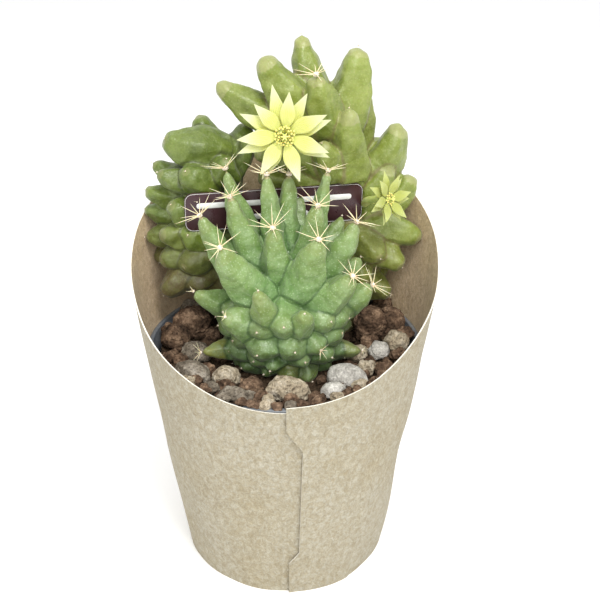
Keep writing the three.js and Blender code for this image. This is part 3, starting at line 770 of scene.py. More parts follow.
def skinFinish(name, look):
    finish, tree = newFinish(name)
    flesh = mottle(tree, 70, 4, 0.6, [(0.3, look["deep"]), (0.5, look["flesh"]), (0.72, look["pale"])])
    ripe = tag(tree, "ripe")
    upper = ramp(tree, ripe, [(0.45, 0.0), (0.92, 1.0)])
    tone = layOn(tree, flesh, upper, look["ripen"], look["upper"])
    tone = blend(tree, tag(tree, "aged"), tone, look["aged"])
    wax = mottle(tree, 260, 5, 0.7, [(0.42, 0.0), (0.68, 1.0)])
    tone = layOn(tree, tone, wax, look["bloom"], look["wax"])
    dots = ramp(tree, cells(tree, 1000), [(0.15, 1.0), (0.34, 0.0)])
    tone = layOn(tree, tone, dots, look["speckle"], look["wax"])
    tip = ramp(tree, ripe, [(look["ends"], 0.0), (0.99, 1.0)])
    tone = layOn(tree, tone, tip, look["scar"], look["tip"])
    # painted shade: creases between tubercles are darkened towards the groove colour
    grooveShade = ramp(tree, tag(tree, "hollow"), [(0.45, 0.0), (1.0, 1.0)])
    tone = layOn(tree, tone, grooveShade, look["crease"], look["grooveShade"])
    # painted shade: each head is tinted darker and bluer towards its bottom
    shade = blend(tree, tag(tree, "low"), (1.0, 1.0, 1.0), look["low"])
    values = {
        "Roughness": mottle(tree, 300, 3, 0.6, [(0.3, 0.31), (0.7, 0.52)]), "Subsurface Weight": look["glow"],
        "Subsurface Radius": (0.4, 1.0, 0.2), "Subsurface Scale": 0.003,
        "Specular IOR Level": 0.55, "Sheen Weight": 0.1,
    }
    bumps = [(cells(tree, 1350), 0.3, 0.00025), (grain(tree, 300, 4, 0.62), 0.5, 0.0009)]
    return dress(finish, tint(tree, tone, shade), values, bumps)


skins = {  # colours, and how strongly each is laid on; "ends" is the share where a tip's scar starts; the groove colour and crease share paint shade into the creases, and the low colour paints shade over each head's bottom
    "frontHead": {
        "deep": (0.09, 0.182, 0.05), "flesh": (0.142, 0.262, 0.078), "pale": (0.21, 0.34, 0.125),
        "upper": (0.165, 0.215, 0.045), "ripen": 0.7, "wax": (0.36, 0.48, 0.27), "bloom": 0.34,
        "speckle": 0.55, "tip": (0.36, 0.28, 0.15), "scar": 0.6, "ends": 0.91, "aged": (0.28, 0.27, 0.05),
        "grooveShade": (0.035, 0.085, 0.02), "crease": 0.8, "glow": 0.08, "low": (0.62, 0.68, 0.72),
    },
    "rearHead": {
        "deep": (0.106, 0.145, 0.012), "flesh": (0.158, 0.202, 0.021), "pale": (0.225, 0.27, 0.048),
        "upper": (0.178, 0.222, 0.03), "ripen": 0.5, "wax": (0.38, 0.43, 0.16), "bloom": 0.34,
        "speckle": 0.25, "tip": (0.44, 0.41, 0.22), "scar": 0.6, "ends": 0.84, "aged": (0.145, 0.148, 0.025),
        "grooveShade": (0.17, 0.13, 0.055), "crease": 0.8, "glow": 0.1, "low": (0.7, 0.7, 0.7),
    },
    "leftHead": {
        "deep": (0.046, 0.075, 0.005), "flesh": (0.078, 0.116, 0.008), "pale": (0.125, 0.168, 0.018),
        "upper": (0.094, 0.142, 0.011), "ripen": 0.5, "wax": (0.26, 0.32, 0.10), "bloom": 0.34,
        "speckle": 0.2, "tip": (0.34, 0.31, 0.15), "scar": 0.5, "ends": 0.86, "aged": (0.105, 0.085, 0.028),
        "grooveShade": (0.03, 0.035, 0.008), "crease": 0.7, "glow": 0.08, "low": (0.66, 0.62, 0.58),
    },
}


# Points that would go through the paper are drawn in.
def keepInside(points, gap):
    reach = np.hypot(points[:, 0], points[:, 1])
    limit = (sleeveRadius(points[:, 2] / mm) - gap) * mm
    points[:, :2] *= np.minimum(1.0, limit / np.maximum(reach, 1e-6))[:, None]


# Keeps a head on its own side of the label.
def clearLabel(piece, inFront):
    basis = np.array(labelBasis())
    turn, middle = basis[:3, :3], basis[:3, 3]
    local = (pointsOf(piece) - middle) @ turn / mm
    gap = label["thick"] / 2 + 0.35
    sideways, upward = np.abs(local[:, 0]), np.abs(local[:, 1])
    margin = 0.4
    within = (sideways < label["width"] / 2 + margin) & (upward < label["height"] / 2 + margin)
    stem = (sideways < label["stakeTop"] / 2 + margin) & (local[:, 1] < 0)
    near = within | stem
    if inFront:
        local[near, 2] = np.maximum(local[near, 2], gap)
    else:
        local[near, 2] = np.minimum(local[near, 2], -gap)
    setPoints(piece, (local * mm) @ turn.T + middle)


def makeHead(head):
    rows = tuberclesOf(head)
    lines = [fingerLine(head, row) for row in rows]
    form = Gather()
    form.add(*coreForm(head))
    for number, line in enumerate(lines):
        facets = fingerShape["facets"]["mound" if rows[number][5] else head["outline"]]
        form.add(*fingerForm(line, number + 1.0, facets))
    piece = form.build(head["name"])
    fuse(piece, head["voxel"] * mm, 3)
    points = pointsOf(piece)
    keepInside(points, fingerShape["paperGap"])
    points[:, 2] = np.maximum(points[:, 2], (soilTop - fingerShape["sunk"]) * mm)
    setPoints(piece, points)
    roughen(piece, fingerShape["bumps"], len(rows))
    clearLabel(piece, head["node"] == "front_head")
    readHead(piece, lines, head["aged"])
    settle(piece, skinFinish(head["name"] + "Skin", skins[head["name"]]), [head["node"]])
    print("potted cactus:", head["name"], "made,", len(rows), "tubercles,", len(points), "points")
    return lines


fingers = {head["name"]: makeHead(head) for head in (frontHead, rearHead, leftHead)}

spines = {
    "length": 8.4,
    "thick": 0.18,
    "number": 10,
    "lift": 20,  # degrees out of the plane of the tip
    "bow": 0.08,
    # colours from a spine's foot to its point, then of the pads
    "tan": (0.62, 0.36, 0.22),
    "straw": (0.80, 0.70, 0.42),
    "pale": (0.88, 0.80, 0.56),
    "point": (0.6, 0.4, 0.24),
    "wool": [(0.5, 0.36, 0.24), (0.78, 0.66, 0.52), (0.9, 0.85, 0.76)],
    "tufts": {"frontHead": [0, 1, 2, 3, 4, 5, 6, 7, 8, 9, 10, 11, 14], "rearHead": [4]},
    "nodes": {"frontHead": "front_spines_", "rearHead": "rear_spines_"},
    # lower tubercles of the front head that carry a few spines: place, number, length
    "lower": [
        (17, 6, 4.6), (45, 6, 3.6), (28, 7, 4.8), (16, 5, 3.2), (18, 3, 2.2), (15, 3, 2.4), (38, 3, 2.4),
    ],
    "stub": (2, 1.2),  # number and length of the tiny bristles elsewhere
    "pad": 1.1,
    "dot": {"frontHead": 0.36, "rearHead": 0.28, "leftHead": 0.28},  # the bare areoles' radius
}


def spineFinish():
    finish, tree = newFinish("spineStraw")
    stops = [(0.0, spines["tan"]), (0.22, spines["straw"]), (0.85, spines["pale"]), (1.0, spines["point"])]
    streak = mottle(tree, 700, 3, 0.6, [(0.35, 0.85), (0.6, 1.0)])
    values = {"Roughness": 0.42, "Subsurface Weight": 0.1, "Subsurface Scale": 0.0006}
    tone = tint(tree, ramp(tree, tag(tree, "along"), stops), streak)
    return dress(finish, tone, values, [(grain(tree, 1800, 2, 0.5), 0.2, 0.0001)])


def woolFinish():
    finish, tree = newFinish("areoleWool")
    tone = mottle(tree, 1500, 4, 0.7, list(zip((0.35, 0.5, 0.65), spines["wool"])))
    values = {"Roughness": 0.95, "Sheen Weight": 0.4}
    return dress(finish, tone, values, [(grain(tree, 2600, 3, 0.7), 0.8, 0.0003)])


# A tapered, bowed needle.
def needleForm(start, way, length, thick, bow, sides=6, steps=7):
    across, over = squareTo(way)
    points = []
    tags = []
    for step in range(steps + 1):
        share = step / steps
        rise = bow * length * math.sin(share * math.pi / 2) * share
        radius = thick * (1 - share) ** 0.7 + thick * 0.08
        points += ringAt(start + way * (length * share) + over * rise, across, over, radius, sides)
        tags += [share] * sides
    return points, endFaces(steps + 1, sides) + ringFaces(steps + 1, sides), tags


# A flattened, lumpy cushion.
def padForm(centre, way, radius, seed):
    points = []
    sides, rings = 14, 9
    across = way.orthogonal().normalized()
    over = way.cross(across).normalized()
    for ring in range(1, rings):
        polar = math.pi * ring / rings
        for x, y in around(sides):
            spot = across * (math.sin(polar) * x) + over * (math.sin(polar) * y)
            spot += way * (math.cos(polar) * 0.7)
            lump = 1 + 0.35 * noise.noise(spot * 3 + Vector((seed, 0, 0)))
            points.append(centre + spot * radius * lump)
    points.append(centre + way * radius * 0.7)
    points.append(centre - way * radius * 0.7)
    faces = [(a, d, c, b) for a, b, c, d in ringFaces(rings - 1, sides)]
    last = (rings - 2) * sides
    for side in range(sides):
        turn = (side + 1) % sides
        faces.append((len(points) - 2, side, turn))
        faces.append((len(points) - 1, last + turn, last + side))
    return points, faces


# A pad on a tubercle's tip, with needles all round it.
def tuftOn(form, line, number, count, length, thick, lift, padRadius):
    dice = random.Random(number * 17 + 3)
    point = line[-1][0]
    along = (point - line[-6][0]).normalized()
    spot = point + along * (padRadius * 0.35)
    pad, padFaces = padForm(spot, along, padRadius, number)
    form.add(pad, padFaces, -1.0)
    side = along.orthogonal().normalized()
    turn = dice.uniform(0, math.pi)
    for i in range(count):
        angle = turn + 2 * math.pi * (i + dice.uniform(-0.25, 0.25)) / count
        rise = math.radians(lift + dice.uniform(-12, 14))
        way = Matrix.Rotation(angle, 3, along) @ side
        way = (way * math.cos(rise) + along * math.sin(rise)).normalized()
        size = length * dice.uniform(0.65, 1.25)
        form.add(*needleForm(spot, way, size, thick, dice.uniform(-1, 1) * spines["bow"]))


# Pads are tagged below nought, and take the second finish.
def splitFinishes(piece):
    tags = np.empty(len(piece.data.vertices), dtype=np.float32)
    piece.data.attributes["along"].data.foreach_get("value", tags)
    kinds = [1 if tags[face.vertices[0]] < 0 else 0 for face in piece.data.polygons]
    piece.data.polygons.foreach_set("material_index", kinds)


def makeSpines():
    straw, wool = spineFinish(), woolFinish()
    for headName, places in spines["tufts"].items():
        for number, spot in enumerate(places):
            form = Gather()
            line = fingers[headName][spot]
            count = spines["number"] + (number * 5) % 3 - 1
            length, thick = spines["length"] * mm, spines["thick"] * mm
            tuftOn(form, line, number + 1, count, length, thick, spines["lift"], spines["pad"] * mm)
            piece = form.build("%sTuft%d" % (headName, number + 1), "along")
            settle(piece, [straw, wool], [spines["nodes"][headName] + str(number + 1)])
            splitFinishes(piece)
    bristles = Gather()
    lower = {row: (count, size) for row, count, size in spines["lower"]}
    for name, lines in fingers.items():
        for number, line in enumerate(lines):
            if number in spines["tufts"].get(name, []):
                continue
            count, size = lower.get(number, spines["stub"]) if name == "frontHead" else spines["stub"]
            stout = size > spines["stub"][1]
            thick = (0.13 if stout else 0.05) * mm
            dot = spines["dot"][name] * (1.6 if stout else 1.0) * mm
            tuftOn(bristles, line, number + 40, count, size * mm, thick, 35, dot)
    piece = bristles.build("bristles", "along")
    settle(piece, [straw, wool])
    splitFinishes(piece)


makeSpines()
print("potted cactus: spines made")

largeFlower = {
    "name": "largeFlower",
    "node": "large_flower",
    "throat": (0.5, 5, 87.5),
    "root": (9, 20, 74),
    "turn": 0,
    "rise": 12,
    "radius": 18.0,
    "outer": 8,
    "inner": 7,
    "phase": 17,
    "joined": False,  # whether a whorl's petals are one piece
    "green": 0.0,
    "stamens": 34,
    "filament": 0.13,
    "anther": 0.42,
}
smallFlower = {
    "name": "smallFlower",
    "node": "small_flower",
    "throat": (37.5, 4, 63.5),
    "root": (31, 19, 56),
    "turn": 40,
    "rise": 15,
    "radius": 10.5,
    "outer": 7,
    "inner": 6,
    "phase": 0,
    "joined": True,
    "green": 0.8,
    "stamens": 20,
    "filament": 0.1,
    "anther": 0.3,
}
petals = {
    "throat": (0.52, 0.58, 0.13),
    "lemon": (0.61, 0.63, 0.17),
    "pale": (0.66, 0.69, 0.36),
    "leafy": [(0.30, 0.345, 0.055), (0.40, 0.45, 0.10)],  # what lemon and pale turn to on a green flower
    "thick": 0.32,
    "across": 10,
    "along": 18,
    "shoulder": 0.42,  # the share of its length where a petal is widest
    "reach": {"outer": 1.0, "inner": 0.92},
    "step": {"outer": 0.3, "inner": 1.2},
    "rise": {"outer": 0.22, "inner": 0.34},
}


def petalFinish(name, green):
    finish, tree = newFinish(name)
    lemon, pale = (
        tuple((1 - green) * a + green * b for a, b in zip(petals[key], leafy))
        for key, leafy in zip(("lemon", "pale"), petals["leafy"])
    )
    stops = [(0.0, petals["throat"]), (0.16, lemon), (0.4, lemon), (0.8, pale)]
    wave = reckon(tree, "SINE", reckon(tree, "MULTIPLY", tag(tree, "across"), 26.0))
    veins = ramp(tree, wave, [(0.0, 0.93), (0.6, 1.0)])
    cloud = mottle(tree, 300, 4, 0.6, [(0.3, 0.94), (0.7, 1.03)])
    tone = tint(tree, tint(tree, ramp(tree, tag(tree, "along"), stops), veins), cloud)
    values = {
        "Roughness": 0.5, "Subsurface Weight": 0.35, "Subsurface Radius": (1.0, 0.9, 0.3),
        "Subsurface Scale": 0.0015, "Sheen Weight": 0.2,
    }
    return dress(finish, tone, values, [(wave, 0.25, 0.0002), (grain(tree, 900, 3, 0.6), 0.15, 0.0003)])


def flowerFrame(flower):
    turn = math.radians(flower["turn"])
    rise = math.radians(flower["rise"])
    out = Vector((math.sin(turn) * math.cos(rise), -math.cos(turn) * math.cos(rise), math.sin(rise)))
    right = Vector((math.cos(turn), math.sin(turn), 0))
    top = out.cross(right)
    basis = Matrix((right, top, out)).transposed().to_4x4()
    x, y, height = flower["throat"]
    basis.translation = Vector((x, y, soilTop + height)) * mm
    return basis


# One petal, closed all round, in its flower's own frame.
def petalForm(flower, whorl, number):
    dice = random.Random(number * 7 + (31 if whorl == "inner" else 5) + int(flower["radius"]))
    radius = flower["radius"] * mm
    count = flower[whorl]
    base = 0.15 * radius
    length = radius * petals["reach"][whorl] * dice.uniform(0.93, 1.03) - base
    widest = 0.74 * math.pi * (base + 0.45 * length) / count
    narrow = 0.6 * math.pi * base / count
    step = petals["step"][whorl] * mm
    rise = petals["rise"][whorl]
    thick = petals["thick"] * mm
    shoulder = petals["shoulder"]
    across, along = petals["across"], petals["along"]
    bend = dice.uniform(-0.08, 0.08)
    twist = dice.uniform(-0.2, 0.2)
    curl = dice.uniform(0.05, 0.16)
    points = []
    tagsAlong = []
    tagsAcross = []
    for layer in (0, 1):
        for row in range(along + 1):
            share = row / along
            width = narrow + (widest - narrow) * math.sin(math.pi / 2 * min(1.0, share / shoulder)) ** 0.9
            if share > shoulder:
                width = widest * (1 - ((share - shoulder) / (1 - shoulder)) ** 1.15) + 0.00003
            for column in range(across + 1):
                sideways = 2 * column / across - 1
                x = sideways * width + bend * length * share ** 2
                y = base + length * share
                outward = max(0.0, y - 0.12 * radius)
                z = step + rise * outward - curl * length * max(0.0, share - 0.6) ** 2 * 2
                z += 0.16 * width * sideways ** 2 + twist * sideways * width * share
                z += layer * thick * (1 - 0.6 * sideways ** 2) * (1 - 0.5 * share)
                points.append(Vector((x, y, z)))
                tagsAlong.append(share)
                tagsAcross.append(sideways)
    wide = across + 1
    half = wide * (along + 1)
    faces = []
    for row in range(along):
        for column in range(across):
            a = row * wide + column
            faces.append((a, a + wide, a + wide + 1, a + 1))
            faces.append((half + a, half + a + 1, half + a + wide + 1, half + a + wide))
        a, b = row * wide, row * wide + across
        faces.append((a, half + a, half + a + wide, a + wide))
        faces.append((b, b + wide, half + b + wide, half + b))
    for column in range(across):
        a, b = column, along * wide + column
        faces.append((a, a + 1, half + a + 1, half + a))
        faces.append((b, half + b, half + b + 1, b + 1))
    angle = 2 * math.pi * (number + (0.5 if whorl == "inner" else 0)) / count + math.radians(flower["phase"])
    turn = Matrix.Rotation(angle, 3, "Z")
    return [turn @ p for p in points], faces, tagsAlong, tagsAcross


def tubeFinish():
    finish, tree = newFinish("flowerTubeSkin")
    stops = [(0.3, (0.34, 0.42, 0.10)), (0.55, (0.50, 0.56, 0.18)), (0.75, (0.66, 0.68, 0.3))]
    tone = mottle(tree, 240, 4, 0.6, stops)
    values = {"Roughness": 0.5, "Subsurface Weight": 0.15, "Subsurface Scale": 0.001}
    return dress(finish, tone, values, [(grain(tree, 700, 3, 0.6), 0.4, 0.0003)])


def pollenFinish():
    finish, tree = newFinish("pollenYellow")
    stops = [(0.0, (0.62, 0.66, 0.18)), (0.6, (0.74, 0.74, 0.22)), (1.0, (0.76, 0.68, 0.20))]
    speck = mottle(tree, 3000, 3, 0.6, [(0.35, 0.86), (0.6, 1.05)])
    tone = tint(tree, ramp(tree, tag(tree, "along"), stops), speck)
    values = {"Roughness": 0.75, "Subsurface Weight": 0.2, "Subsurface Scale": 0.0008}
    return dress(finish, tone, values, [(grain(tree, 4000, 2, 0.6), 0.5, 0.0001)])


# A rounded tube through (point, radius) stations.
def tubeForm(stations, sides=24):
    points = []
    count = len(stations)
    for number, (point, radius) in enumerate(stations):
        before = stations[max(0, number - 1)][0]
        after = stations[min(count - 1, number + 1)][0]
        along = (after - before).normalized()
        across = along.orthogonal().normalized()
        points += ringAt(point, across, along.cross(across), radius, sides)
    return points, endFaces(count, sides) + ringFaces(count, sides)


def makeTube(flower, basis, finish):
    radius = flower["radius"] * mm
    plate = 0.32 * radius
    x, y, height = flower["root"]
    root = basis.inverted() @ (Vector((x, y, soilTop + height)) * mm)
    neck = Vector((0, 0, -0.35 * radius))
    form = Gather()
    stations = []
    elbow = neck + Vector((0, 0, -0.5 * (root - neck).length))
    for share in np.linspace(0, 1, 12):
        point = root * (1 - share) ** 2 + elbow * 2 * share * (1 - share) + neck * share ** 2
        stations.append((point, plate * (0.42 + 0.05 * math.sin(share * 5))))
    for share in np.linspace(0.1, 1, 10):
        stations.append((neck * (1 - share), plate * (0.42 + 0.5 * share ** 1.6)))
    form.add(*tubeForm(stations), basis=basis)
    for number in range(9):  # small scales up the tube
        at, size = stations[3 + number * 2 % 17]
        angle = number * 2.4
        side = Vector((math.cos(angle), math.sin(angle), 0))
        way = (side * 0.35 + Vector((0, 0, 1))).normalized()
        points, faces, _ = needleForm(at + side * size * 0.8, way, 0.17 * radius, 0.05 * radius, 0.1, 8)
        form.add(points, faces, basis=basis)
    piece = form.build(flower["name"] + "Tube")
    settle(piece, finish, [flower["node"] + "_tube"])


def makeStamens(flower, basis, finish):
    radius = flower["radius"] * mm
    form = Gather()
    dice = random.Random(int(flower["radius"]) + 2)
    count = flower["stamens"]
    for number in range(count):
        angle = number * 2.39996  # the golden angle, which spreads them evenly
        spread = 0.25 + 0.75 * math.sqrt((number + 0.5) / count)
        foot = Vector((math.cos(angle), math.sin(angle), 0)) * 0.07 * radius * spread + Vector((0, 0, 0.0006))
        way = Vector((math.cos(angle) * 0.75 * spread, math.sin(angle) * 0.75 * spread, 1)).normalized()
        size = radius * dice.uniform(0.20, 0.27)
        points, faces, tags = needleForm(foot, way, size, flower["filament"] * mm, 0.06, 6, 5)
        for i, share in enumerate(tags):  # filaments keep their thickness
            centre = foot + way * (size * share)
            points[i] = centre + (points[i] - centre) * (1 + 0.5 * share)
        form.add(points, faces, tags, basis)
        form.add(*padForm(foot + way * size, way, flower["anther"] * mm, number), 1.0, basis)
    piece = form.build(flower["name"] + "Stamens", "along")
    settle(piece, finish, [flower["node"] + "_stamens"])


def makeStyle(flower, basis, finish):
    radius = flower["radius"] * mm
    form = Gather()
    top = 0.36 * radius
    stations = [(Vector((0, 0, share * top)), 0.03 * radius) for share in np.linspace(0.03, 1, 8)]
    form.add(*tubeForm(stations, 14), 0.5, basis)
    tip = Vector((0, 0, top * 0.97))
    for x, y in around(6):  # the lobes
        way = Vector((x, y, 0.45)).normalized()
        points, faces, tags = needleForm(tip, way, 0.1 * radius, 0.022 * radius, 0.1, 8, 6)
        form.add(points, faces, [0.4 + 0.2 * t for t in tags], basis)
    piece = form.build(flower["name"] + "Style", "along")
    settle(piece, finish, [flower["node"] + "_style"])


def makeFlower(flower):
    basis = flowerFrame(flower)
    finish = petalFinish(flower["name"] + "Petal", flower["green"])
    for whorl in ("outer", "inner"):
        whole = Gather()
        sides = []
        for number in range(flower[whorl]):
            points, faces, along, across = petalForm(flower, whorl, number)
            if not flower["joined"]:
                whole, sides = Gather(), []
            whole.add(points, faces, along, basis)
            sides.extend(across)
            last = number == flower[whorl] - 1
            if flower["joined"] and not last:
                continue
            pieceEnd = "Petals" if flower["joined"] else "Petal%d" % (number + 1)
            nodeEnd = "petals" if flower["joined"] else "petal_%d" % (number + 1)
            node = "%s_%s_%s" % (flower["node"], whorl, nodeEnd)
            piece = whole.build(flower["name"] + whorl.capitalize() + pieceEnd, "along")
            setTag(piece, "across", sides)
            settle(piece, finish, [node])
    makeTube(flower, basis, tubeFinish())
    pollen = pollenFinish()
    makeStamens(flower, basis, pollen)
    makeStyle(flower, basis, pollen)


makeFlower(largeFlower)
makeFlower(smallFlower)
print("potted cactus: flowers made")


# A rounded plate outline, drawn anticlockwise, in millimetres.
def plateOutline(width, height, corner, steps=8):
    outline = []
    for cx, cy, start in ((1, -1, -90), (1, 1, 0), (-1, 1, 90), (-1, -1, 180)):
        for step in range(steps + 1):
            angle = math.radians(start + 90 * step / steps)
            x = cx * (width / 2 - corner) + corner * math.cos(angle)
            y = cy * (height / 2 - corner) + corner * math.sin(angle)
            outline.append((x, y))
    return outline


# A plate with softened edges, from an outline and (inset, height) steps.
def plateForm(outline, steps):
    points = []
    count = len(outline)
    for inset, height in steps:
        for number, (x, y) in enumerate(outline):
            before, after = outline[number - 1], outline[(number + 1) % count]
            dx, dy = after[0] - before[0], after[1] - before[1]
            size = math.hypot(dx, dy) or 1
            points.append(Vector((x - inset * dy / size, y + inset * dx / size, height)) * mm)
    return points, endFaces(len(steps), count) + ringFaces(len(steps), count)


def labelFinish(name, colour, rough):
    finish, tree = newFinish(name)
    smudge = mottle(tree, 130, 4, 0.6, [(0.3, 0.8), (0.7, 1.15)])
    gloss = mottle(tree, 240, 4, 0.65, [(0.3, rough - 0.08), (0.7, rough + 0.12)])
    bumps = [(grain(tree, 90, 2, 0.5), 0.15, 0.001), (grain(tree, 3000, 2, 0.5), 0.08, 0.0001)]
    return dress(finish, tint(tree, colour, smudge), {"Roughness": gloss}, bumps)


def makeLabel():
    basis = labelBasis()
    half = label["thick"] / 2
    soft = [(0.22, -half), (0.06, -half + 0.1), (0, -half + 0.25)]
    soft += [(inset, -height) for inset, height in reversed(soft)]
    outline = plateOutline(label["width"], label["height"], label["corner"])
    foot = -(label["centre"][2] + label["buried"])
    top, tip = label["stakeTop"] / 2, label["stakeTip"] / 2
    neck = -label["height"] / 2
    start = next(i for i, (x, y) in enumerate(outline) if x > 0 and y < neck + 0.01)
    stake = [(-top - 1.5, neck), (-top, neck - 1.5), (-tip, foot + 3), (0, foot)]
    stake += [(-x, y) for x, y in reversed(stake[:-1])]
    outline = outline[:start] + stake + outline[start:]
    plate = Gather()
    plate.add(*plateForm(outline, soft), basis=basis)
    piece = plate.build("plantLabel")
    piece.data.set_sharp_from_angle(angle=math.radians(35))
    settle(piece, labelFinish("labelPlastic", label["colour"], 0.3), ["plant_label"])
    prints = Gather()
    face = half + 0.03
    for line, left, length in label["bars"]:
        middle = label["lines"][line]
        bar = [(x + left + length / 2, y + middle) for x, y in plateOutline(length, 2.2, 1.0, 5)]
        prints.add(*plateForm(bar, [(0, face - 0.1), (0, face), (0.06, face + 0.04)]), basis=basis)
    # a thin light line round the edge
    outer = plateOutline(label["width"] - 0.5, label["height"] - 0.5, label["corner"] - 0.25)
    inner = plateOutline(label["width"] - 0.75, label["height"] - 0.75, label["corner"] - 0.38)
    points = [Vector((x, y, face + z)) * mm for z in (-0.1, 0.03) for ring in (outer, inner) for x, y in ring]
    count = len(outer)
    faces = []
    for side in range(count):
        turn = (side + 1) % count
        faces.append((2 * count + side, 2 * count + turn, 3 * count + turn, 3 * count + side))
        faces.append((side, count + side, count + turn, turn))
        faces.append((side, turn, 2 * count + turn, 2 * count + side))
        faces.append((count + side, 3 * count + side, 3 * count + turn, count + turn))
    prints.add(points, faces, basis=basis)
    piece = prints.build("labelPrint")
    settle(piece, labelFinish("printWhite", label["print"], 0.5))


makeLabel()
print("potted cactus: label made")

bed = {
    "rise": [(0, 0), (24, 1.2), (39, 3.6), (48, 6)],
    "bumps": [(0.22, 1.1, 1), (0.7, 0.7, 4), (1.9, 0.35, 7)],  # noise scale, depth and layer of the top
    "low": 2.1,  # the bed's bottom, just over the pot's floor
    "sides": 160,
    "rings": 70,
    "dark": (0.022, 0.015, 0.010),
    "brown": (0.085, 0.055, 0.034),
    "dry": (0.16, 0.11, 0.07),
    "gap": 0.35,  # between the soil and the pot's wall
    "crumbs": 420,
    "crumbReach": 48.0,
    "feet": [(0, -1, 23), (17, 24, 12), (-7, 20, 11)],  # where the heads stand
}
lavaLook = [(0.018, 0.011, 0.007), (0.115, 0.071, 0.045), (0.36, 0.245, 0.16)]
pumiceLook = [(0.07, 0.056, 0.042), (0.19, 0.16, 0.122), (0.42, 0.38, 0.32)]
tanLook = [(0.14, 0.10, 0.065), (0.37, 0.31, 0.22), (0.60, 0.54, 0.44)]
paleLook = [(0.25, 0.235, 0.21), (0.47, 0.45, 0.41), (0.68, 0.66, 0.61)]


def rockFinish(name, tones, poreScale, poreDepthAndShade):
    finish, tree = newFinish(name)
    tone = mottle(tree, 230, 6, 0.65, [(0.28, tones[0]), (0.5, tones[1]), (0.72, tones[2])])
    pores = cells(tree, poreScale)
    # painted shade: the pores are darkened in the colour, by the pore depth share
    poreShade = ramp(tree, pores, [(0.1, 0.35), (0.34, 1.0)])
    tone = blend(tree, poreDepthAndShade, tone, poreShade, "MULTIPLY")
    dust = mottle(tree, 1100, 4, 0.7, [(0.4, 0.78), (0.62, 1.2)])
    values = {"Roughness": 0.95, "Specular IOR Level": 0.2}
    bumps = [(pores, 0.9 * poreDepthAndShade, 0.0008), (grain(tree, 900, 5, 0.7), 0.8, 0.0006)]
    return dress(finish, tint(tree, tone, dust), values, bumps)


def soilFinish():
    finish, tree = newFinish("darkEarth")
    tone = mottle(tree, 500, 6, 0.7, [(0.35, bed["dark"]), (0.6, bed["brown"]), (0.75, bed["dry"])])
    values = {"Roughness": 1.0, "Specular IOR Level": 0.1}
    return dress(finish, tone, values, [(grain(tree, 700, 6, 0.75), 1.0, 0.001)])


def bedHeight(distance):
    return soilTop + float(np.interp(distance, [d for d, _ in bed["rise"]], [h for _, h in bed["rise"]]))


def makeSoil():
    low = bed["low"]
    bandBottom = pot["height"] - pot["bandHeight"]
    bandRadius = pot["rimRadius"] - sleeve["taper"] * pot["bandHeight"]
    wallTop = bandRadius - pot["bandStep"] - pot["wall"] - bed["gap"]
    slope = (bandRadius - pot["bandStep"] - pot["baseRadius"]) / bandBottom
    foot = pot["baseRadius"] + slope * low - pot["wall"] - bed["gap"]
    sides = bed["sides"]
    outline = [(0.6 * foot, low), (foot, low)]
    outline += [(foot + (wallTop - foot) * 0.5, low + (bandBottom - low) * 0.5), (wallTop, bandBottom)]
    outline += [(r, None) for r in np.linspace(wallTop, 0.4, bed["rings"])]
    points = []
    for radius, height in outline:
        for cosine, sine in around(sides):
            x, y = radius * cosine, radius * sine
            z = height
            if z is None:
                z = bedHeight(radius) - 0.4
                for scale, depth, layer in bed["bumps"]:
                    z += depth * noise.noise(Vector((x * scale, y * scale, layer)))
            points.append(Vector((x, y, z)) * mm)
    rings = len(outline)
    piece = makeObject("soilBed", points, endFaces(rings, sides) + ringFaces(rings, sides))
    settle(piece, soilFinish(), ["soil"])


# Rounded grains with creases between them: how far each point of a rock stands out.
def grains(points, scale, seed):
    return 0.45 - cellsAt(points, scale, Vector((seed, seed * 0.7, -seed)))


# Small round holes: how deep each point of a rock lies.
def pits(points, scale, seed, size):
    near = cellsAt(points, scale, Vector((seed, -seed, seed * 0.4)))
    return -np.clip(1 - near / size, 0, 1) ** 0.7


